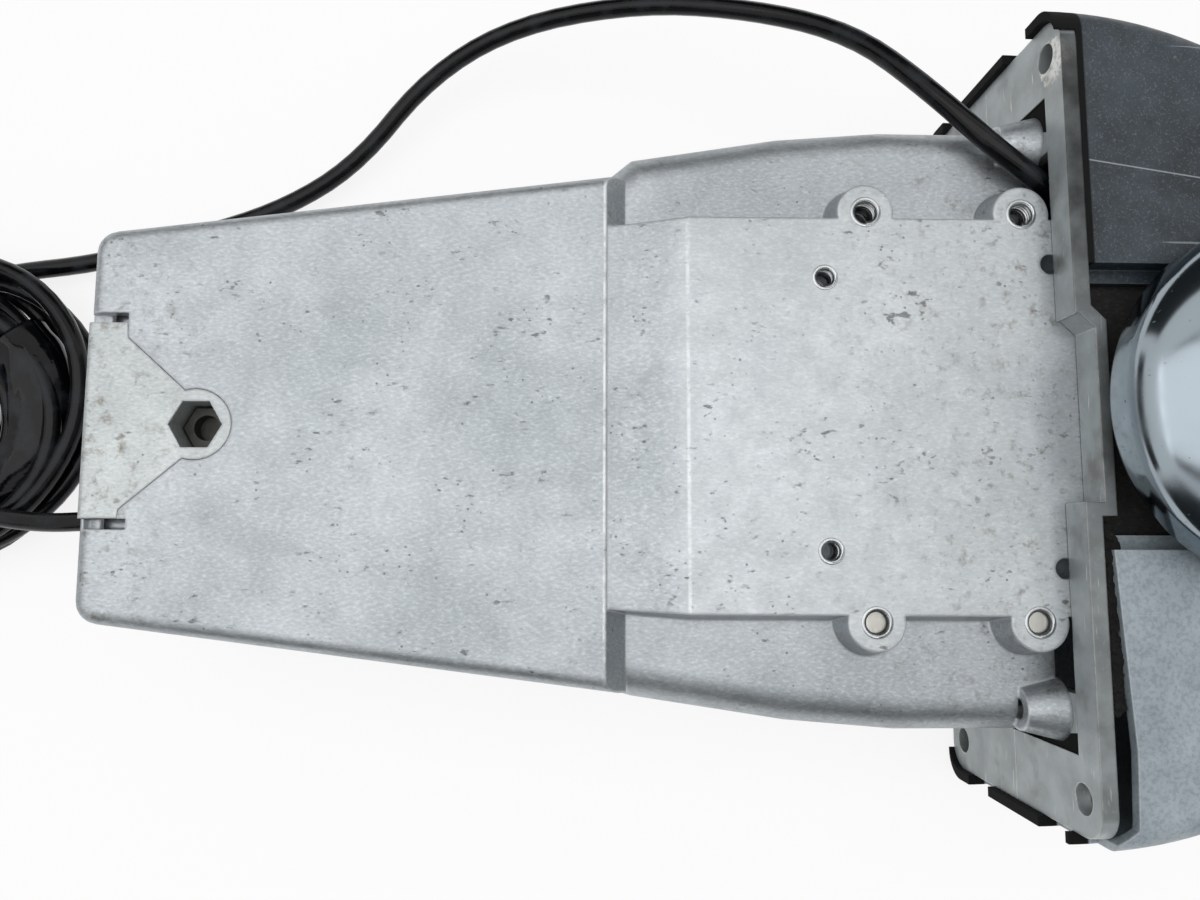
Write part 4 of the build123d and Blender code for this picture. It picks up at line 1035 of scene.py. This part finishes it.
# ---------------------------------------------------------------- sub-assemblies
class SubAssembly:
    """Nodes that belong together, with their finishes and any finer pieces."""

    FINISHES: ClassVar[dict[Finish, tuple[str, ...]]] = {}

    def build(self, nodes: Nodes) -> None:
        """Dress the group's nodes, then add its finer pieces.

        Args:
            nodes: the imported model's nodes by name.
        """
        for finish, names in self.FINISHES.items():
            finish.dress(*[nodes[name] for name in names])
            log.info("%s: %s in %s", type(self).__name__, ", ".join(names), finish.name)
        self.detail(nodes)

    def detail(self, nodes: Nodes) -> None:
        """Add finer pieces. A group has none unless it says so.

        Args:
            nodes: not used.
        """


@dataclass(frozen=True)
class TappedHoles:
    """Two tapped holes that open towards -Y, each with a turned rim and a ridge that winds inwards."""

    name: str
    first: Point
    step: Point
    radius: float
    turns: float
    pitch: float = 1.0
    tooth: float = 0.62
    lip: float = 0.25
    bead: float = 0.38

    def shape(self, add: Adder, given: Sockets) -> Socket:
        """Wind a ridge into each hole, and lay a bead round its mouth.

        Args:
            add: adds a node to the tree.
            given: its size inputs.

        Returns:
            The geometry.
        """
        wind = add(
            "CurveSpiral", Resolution=28, Rotations=given["turns"], Start_Radius=given["radius"],
            End_Radius=given["radius"], Height=given["depth"],
        )
        tooth = add("CurvePrimitiveCircle", Resolution=3, Radius=given["tooth"])
        thread = add("CurveToMesh", Curve=wind, Profile_Curve=tooth, Fill_Caps=True)
        mouth = add("CurvePrimitiveCircle", Resolution=48, Radius=given["rim"])
        bead = add("CurvePrimitiveCircle", Resolution=12, Radius=given["bead"])
        rim = add("CurveToMesh", Curve=mouth, Profile_Curve=bead)
        rim = add("SetShadeSmooth", Geometry=rim)
        rim = add("Transform", Geometry=rim, Scale=(1.0, 1.0, 0.4))
        hole = add("JoinGeometry", Geometry=[rim, thread])
        return set_twice(add, given, hole, Z_TO_Y)

    def build(self) -> None:
        """Make the holes' lining and let it ride on the housing."""
        lining = grow(
            self.name, self.shape, TURNED_ALUMINIUM, first=metres(self.first), step=metres(self.step),
            radius=self.radius * MM, turns=self.turns, depth=self.turns * self.pitch * MM,
            tooth=self.tooth * self.pitch * MM, rim=(self.radius + self.lip) * MM, bead=self.bead * MM,
        )
        settle(lining, Body.HOUSING, "cast_aluminium")


@dataclass(frozen=True)
class SlotRibs:
    """The two cast ribs that close the slots beside the clamp plate, each bowed up in its middle."""

    first: Point = (-21.4, -18.6, -221.0)
    step: Point = (47.6, 0.0, 0.0)
    length: float = 12.0
    bow: float = 1.6
    radius: float = 2.4

    def shape(self, add: Adder, given: Sockets) -> Socket:
        """Sweep a bowed rib, and set it twice.

        Args:
            add: adds a node to the tree.
            given: its size inputs.

        Returns:
            The geometry.
        """
        line = add(
            "CurveQuadraticBezier", Resolution=12, Start=(0.0, 0.0, 0.0),
            Middle=given["middle"], End=given["end"],
        )
        around = add("CurvePrimitiveCircle", Resolution=24, Radius=given["radius"])
        rib = add("CurveToMesh", Curve=line, Profile_Curve=around, Fill_Caps=True)
        rib = add("SetShadeSmooth", Geometry=rib)
        return set_twice(add, given, rib)

    def build(self) -> None:
        """Make the ribs and let them ride on the housing."""
        ribs = grow(
            "slot_ribs", self.shape, CASTING, first=metres(self.first), step=metres(self.step),
            middle=metres((0.0, -self.bow, self.length / 2)), end=metres((0.0, 0.0, self.length)),
            radius=self.radius * MM,
        )
        settle(ribs, Body.HOUSING, "cast_aluminium")


@dataclass(frozen=True)
class CastHousing(SubAssembly):
    """The two cast halves with their cable clamp, and the tapped holes of the mounting pad."""

    FINISHES = {
        CASTING: ("housing_near", "housing_far"),
        CLAMP_CASTING: ("cable_clamp_plate",),
        OILED_STEEL: ("clamp_nut", "clamp_bolt"),
        ZINC_STEEL: ("housing_screws",),
    }
    taps: tuple[TappedHoles, ...] = (
        TappedHoles("open_tapped_holes", (-47.3, -29.0, -43.9), (0.0, 0.0, 36.9), 3.0, 9.0),
        TappedHoles("filled_tapped_holes", (47.3, -29.0, -43.9), (0.0, 0.0, 36.9), 3.0, 1.0),
        TappedHoles("blind_tapped_holes", (-31.5, -29.0, -53.8), (63.0, 0.0, 0.0), 2.4, 7.0, 0.8),
    )
    ribs: SlotRibs = SlotRibs()

    def detail(self, nodes: Nodes) -> None:
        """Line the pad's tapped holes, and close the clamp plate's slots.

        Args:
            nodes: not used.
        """
        for tap in self.taps:
            tap.build()
        self.ribs.build()


@dataclass(frozen=True)
class DeckFlange(SubAssembly):
    """The deck flange in two halves, its screws and the crumbled foam strips on it."""

    FINISHES = {
        ENAMEL: ("flange_near", "flange_far"),
        ZINC_STEEL: ("flange_screws",),
        FOAM: ("foam_gasket",),
    }
    strips: tuple[tuple[str, Point, Point], ...] = (
        ("foam_fore", (-62.0, -32.3, 4.9), (52.0, 3.6, 2.6)),
        ("foam_aft", (45.7, -33.0, 5.5), (40.6, 5.6, 3.8)),
    )
    torn: float = 4.5

    def crumble(self, add: Adder, given: Sockets) -> Socket:
        """Tear a block of foam all over.

        Args:
            add: adds a node to the tree.
            given: its size inputs.

        Returns:
            The geometry.
        """
        block = add("MeshCube", Size=given["size"], Vertices_X=110, Vertices_Y=14, Vertices_Z=11)
        block = add("Transform", Geometry=block, Translation=given["centre"])
        place = add("InputPosition")
        torn = add("TexNoise", "Color", Vector=place, Scale=1 / (2.6 * MM), Detail=5.0)
        torn = add("VectorMath", operation="SUBTRACT", i0=torn, i1=(0.5, 0.5, 0.5))
        torn = add("VectorMath", operation="SCALE", i0=torn, Scale=given["torn"])
        return add("SetPosition", Geometry=block, Offset=torn)

    def detail(self, nodes: Nodes) -> None:
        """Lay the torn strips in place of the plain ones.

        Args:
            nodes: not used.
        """
        for name, centre, size in self.strips:
            sizes = {"centre": metres(centre), "size": metres(size), "torn": self.torn * MM}
            strip = grow(name, self.crumble, FOAM, **sizes)
            settle(strip, Body.HOUSING, "foam", "foam_gasket")


@dataclass(frozen=True)
class DomeCovers(SubAssembly):
    """The moulded covers over the deck flange and their pan head screws."""

    FINISHES = {
        COVER_ABS: ("fore_cover", "crown_cover"),
        # the aft cover's paler finish is painted sheen
        PAINTED_SHEEN_ABS: ("aft_cover",),
        ZINC_STEEL: ("cover_screws",),
    }
    head_y: float = 37.2
    head_r: float = 3.9
    head_high: float = 2.2
    head_taper: float = 0.9
    recess: Point = (4.4, 0.9, 2.0)
    rows: tuple[tuple[str, float, float], ...] = (
        ("cover_screws_low", 40.0, 22.0), ("cover_screws_high", 20.0, 74.0),
    )

    def pan_heads(self, add: Adder, given: Sockets) -> Socket:
        """Cut a cross in a pan head, and set it twice, facing +Y.

        Args:
            add: adds a node to the tree.
            given: its size inputs.

        Returns:
            The geometry.
        """
        head = add(
            "MeshCone", Vertices=48, Radius_Top=given["top"], Radius_Bottom=given["radius"],
            Depth=given["high"],
        )
        slot = add("MeshCube", Size=given["slot"])
        turned = add("Transform", Geometry=slot, Rotation=(0, 0, math.pi / 2))
        cross = add("JoinGeometry", Geometry=[slot, turned])
        cross = add("Transform", Geometry=cross, Translation=given["rise"])
        head = add("MeshBoolean", operation="DIFFERENCE", i0=head, i1=cross)
        return set_twice(add, given, head, Z_TO_Y)

    def detail(self, nodes: Nodes) -> None:
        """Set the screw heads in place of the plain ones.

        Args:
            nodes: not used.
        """
        for name, x, z in self.rows:
            heads = grow(
                name, self.pan_heads, ZINC_STEEL, radius=self.head_r * MM, high=self.head_high * MM,
                top=(self.head_r - self.head_taper) * MM, slot=metres(self.recess),
                rise=metres((0.0, 0.0, self.head_high)), first=metres((-x, self.head_y, z)),
                step=metres((2 * x, 0.0, 0.0)),
            )
            settle(heads, Body.HOUSING, "zinc_steel", "cover_screws")


@dataclass(frozen=True)
class LeverHead(SubAssembly):
    """The hub, the arm and the grip with its switches."""

    FINISHES = {
        CHROME: ("lever_hub",),
        SATIN_STEEL: ("lever_arm",),
        ZINC_STEEL: ("hub_bolt",),
        RUBBER: ("grip_body",),
        SWITCH_ABS: ("grip_cap", "trim_bezel", "trim_rocker", "lock_trigger", "throttle_button"),
    }
    pivot_z: float = 43.0
    hub_r: float = 40.0
    hub_back: float = 41.0
    hub_roll: float = 2.6
    dome_back: float = 49.0
    dome_rise: float = 14.4
    dome_sweep: float = 74.0
    dome_power: float = 1.06
    face_back: float = 52.2
    bore_r: float = 20.3
    well_r: float = 9.3
    well_mouth: float = 62.5
    well_floor: float = 53.8
    bolt_r: float = 4.1
    slot_half: float = 13.7
    slot_high: float = 60.0
    grip_z: float = 184.0
    grip_sections: tuple[Point, ...] = (
        (56.0, 15.5, 13.0), (50.0, 17.0, 14.4), (26.0, 18.2, 14.6), (-2.0, 17.6, 14.4), (-28.0, 15.6, 13.0),
        (-34.0, 14.6, 12.1), (-38.0, 12.6, 10.3), (-40.0, 8.4, 6.8),
    )
    loft_step: float = 0.5
    sides: int = 80
    rib_pitch: float = 4.4
    rib_high: float = 0.8
    ribbed: Flat = (-26.0, 38.0)

    def make_hub(self) -> bpy.types.Object:
        """Turn the domed hub about the shaft's axis, and cut the arm's slot in its back.

        Returns:
            The hub.
        """
        rim, back, roll = self.hub_r, self.hub_back, self.hub_roll
        dome = [
            (rim * math.sin(lean), self.dome_back + self.dome_rise * math.cos(lean) ** self.dome_power)
            for lean in [math.radians(90 - self.dome_sweep * step / 40) for step in range(41)]
        ]
        profile = [
            (self.bore_r, back), (rim - roll, back), (rim - 0.8, back + 0.8), (rim, back + roll), *dome,
            (self.well_r + 0.6, self.well_mouth + 0.45), (self.well_r, self.well_mouth),
            (self.well_r, self.well_floor), (self.bolt_r, self.well_floor),
            (self.bolt_r, self.face_back), (self.bore_r, self.face_back),
        ]
        shell = bmesh.new()
        ring = [shell.verts.new((0, -depth * MM, (self.pivot_z + out) * MM)) for out, depth in profile]
        edges = [shell.edges.new(pair) for pair in zip(ring, ring[1:] + ring[:1])]
        bmesh.ops.spin(
            shell, geom=ring + edges, cent=(0, 0, self.pivot_z * MM), axis=(0, 1, 0), angle=math.tau,
            steps=180, use_merge=True,
        )
        hub = close_shell("hub_dome", shell)
        block = bmesh.new()
        bmesh.ops.create_cube(block, size=1.0)
        size = Vector((2 * self.slot_half, self.face_back - back + 2, self.slot_high))
        centre = Vector((0, -(self.face_back + back) / 2, self.pivot_z + self.slot_high / 2))
        for vert in block.verts:
            vert.co = (vert.co * size + centre) * MM
        cutter = close_shell("hub_slot", block)
        cut = hub.modifiers.new("slot", "BOOLEAN")
        cut.operation = "DIFFERENCE"
        cut.solver = "EXACT"
        cut.object = cutter
        hub = plain_mesh(hub)
        bpy.data.objects.remove(cutter)
        return hub

    def make_grip(self) -> bpy.types.Object:
        """Loft the grip through its sections, with shallow grooves between low ribs.

        Returns:
            The grip.
        """
        rings = []
        for first, last in zip(self.grip_sections, self.grip_sections[1:]):
            steps = max(round((first[0] - last[0]) / self.loft_step), 1)
            for share in [step / steps for step in range(steps)]:
                at, wide, high = [a + (b - a) * share for a, b in zip(first, last)]
                dip = 0.0
                if self.ribbed[0] < at < self.ribbed[1]:
                    dip = self.rib_high * max(math.sin(math.tau * at / self.rib_pitch), 0.0) ** 0.5
                rings.append((at, wide - dip, high - dip))
        rings.append(self.grip_sections[-1])
        shell = bmesh.new()
        angles = [math.tau * side / self.sides for side in range(self.sides)]
        loops = [
            [
                shell.verts.new(metres((wide * math.cos(a), -at, self.grip_z + high * math.sin(a))))
                for a in angles
            ]
            for at, wide, high in rings
        ]
        for near, far in zip(loops, loops[1:]):
            for side in range(self.sides):
                shell.faces.new((near[side], near[side - 1], far[side - 1], far[side]))
        shell.faces.new(loops[0])
        shell.faces.new(loops[-1])
        return close_shell("ribbed_grip", shell, sharp=50.0)

    def detail(self, nodes: Nodes) -> None:
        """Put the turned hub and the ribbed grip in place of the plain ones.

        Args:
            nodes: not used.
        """
        hub, grip = self.make_hub(), self.make_grip()
        CHROME.dress(hub)
        RUBBER.dress(grip)
        settle(hub, Body.LEVER, "chrome", "lever_hub")
        settle(grip, Body.LEVER, "grip_rubber", "grip_body")


@dataclass(frozen=True)
class PressedSpring:
    """A compression spring along Z, wound in place of a node."""

    node: str
    body: Body
    joint: str
    travel: float
    wire: float
    turns: float = 5.0

    def shape(self, add: Adder, given: Sockets) -> Socket:
        """Wind the wire.

        Args:
            add: adds a node to the tree.
            given: its size inputs.

        Returns:
            The geometry.
        """
        wind = add(
            "CurveSpiral", Resolution=24, Rotations=given["turns"], Start_Radius=given["radius"],
            End_Radius=given["radius"], Height=given["height"],
        )
        wire = add("CurvePrimitiveCircle", Resolution=10, Radius=given["wire"])
        spring = add("CurveToMesh", Curve=wind, Profile_Curve=wire, Fill_Caps=True)
        spring = add("Transform", Geometry=spring, Translation=given["foot"])
        return add("SetShadeSmooth", Geometry=spring)

    def build(self) -> None:
        """Wind the spring where its node stands."""
        low, high = (Vector(corner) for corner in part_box(self.node))
        middle = (low + high) / 2
        wire = self.wire * MM
        spring = grow(
            f"wound_{self.node}", self.shape, MACHINED_STEEL, turns=self.turns, wire=wire,
            radius=(high.x - low.x) / 2 - wire, height=high.z - low.z - 2 * wire,
            foot=(middle.x, middle.y, low.z + wire),
        )
        settle(spring, self.body, "machine_steel", self.node)
        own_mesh(spring)


@dataclass(frozen=True)
class Mechanism(SubAssembly):
    """The shaft, gears, arms, detent and neutral lock inside the housing."""

    FINISHES = {
        MACHINED_STEEL: (
            "lever_shaft", "drive_gear", "shift_arm", "shift_pivot_pin", "pivot_clip", "throttle_crank",
            "detent_plate", "detent_plunger", "detent_spring", "lock_ring", "lock_rod", "lock_spring",
        ),
        TURNED_BRASS: ("shift_trunnion", "throttle_trunnion", "detent_plug", "friction_screw"),
        ACETAL: ("near_bush", "far_bush", "friction_pad"),
        SWITCH_ABS: ("neutral_switch",),
    }
    springs: tuple[PressedSpring, ...] = (
        PressedSpring("detent_spring", Body.HOUSING, "detent_lift", travel=1.2, wire=0.45),
        PressedSpring("lock_spring", Body.LEVER, "lock_lift", travel=5.0, wire=0.35),
    )

    def detail(self, nodes: Nodes) -> None:
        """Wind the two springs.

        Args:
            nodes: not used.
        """
        for spring in self.springs:
            spring.build()


@dataclass(frozen=True)
class Harness(SubAssembly):
    """The two leads with their fittings, and the film that is wrapped round part of their coil."""

    FINISHES = {
        NYLON: ("lead_gland", "outlet_grommet", "trim_connector", "switch_connector", "coil_tie"),
    }
    wrap_centre: Point = (-6.8, 28.6, -292.0)
    wrap_run_r: float = 28.5
    wrap_half: float = 11.5
    wrap_start: float = 18.0
    wrap_sweep: float = 118.0
    wrap_flat: float = 0.78
    creases: Flat = (-1.6, 2.0)

    def wrap(self, add: Adder, given: Sockets) -> Socket:
        """Sweep a sleeve of film along part of the coil, and crease it.

        Args:
            add: adds a node to the tree.
            given: its size inputs.

        Returns:
            The geometry.
        """
        run = add(
            "CurveArc", mode="RADIUS", Resolution=120, Radius=given["run"],
            Start_Angle=given["start"], Sweep_Angle=given["sweep"],
        )
        around = add("CurvePrimitiveCircle", Resolution=56, Radius=given["half"])
        film = add("CurveToMesh", Curve=run, Profile_Curve=around, Fill_Caps=True)
        film = add(
            "Transform", Geometry=film, Translation=given["centre"],
            Rotation=(math.pi / 2, 0, 0), Scale=(1.0, 1.0, self.wrap_flat),
        )
        place = add("InputPosition")
        drawn = add("VectorMath", operation="MULTIPLY", i0=place, i1=(0.4, 1.0, 1.0))
        crease = add(
            "TexNoise", noise_type="RIDGED_MULTIFRACTAL", Vector=drawn, Scale=1 / (11 * MM),
            Distortion=0.7,
        )
        dent, swell = metres(self.creases)
        push = add("MapRange", Value=crease, From_Max=2.2, To_Min=dent, To_Max=swell)
        out = add("InputNormal")
        out = add("VectorMath", operation="SCALE", i0=out, Scale=push)
        film = add("SetPosition", Geometry=film, Offset=out)
        return add("SetShadeSmooth", Geometry=film)

    def detail(self, nodes: Nodes) -> None:
        """Draw the leads, then wrap their coil.

        Args:
            nodes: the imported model's nodes by name.
        """
        TRIM_LEAD.build(nodes)
        SWITCH_LEAD.build(nodes)
        film = grow(
            "bundle_wrap", self.wrap, FILM, centre=metres(self.wrap_centre),
            run=self.wrap_run_r * MM, half=self.wrap_half * MM,
            start=math.radians(self.wrap_start), sweep=math.radians(self.wrap_sweep),
        )
        settle(film, Body.HOUSING, "lead_jacket")


def main() -> None:
    """Build the dressed scene in order and report each part of it."""
    logging.basicConfig(level=logging.INFO, format="%(message)s")
    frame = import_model()
    Studio().build()
    for part in (Harness(), CastHousing(), DeckFlange(), DomeCovers(), LeverHead(), Mechanism()):
        part.build(frame["nodes"])


if __name__ == "__main__":
    main()
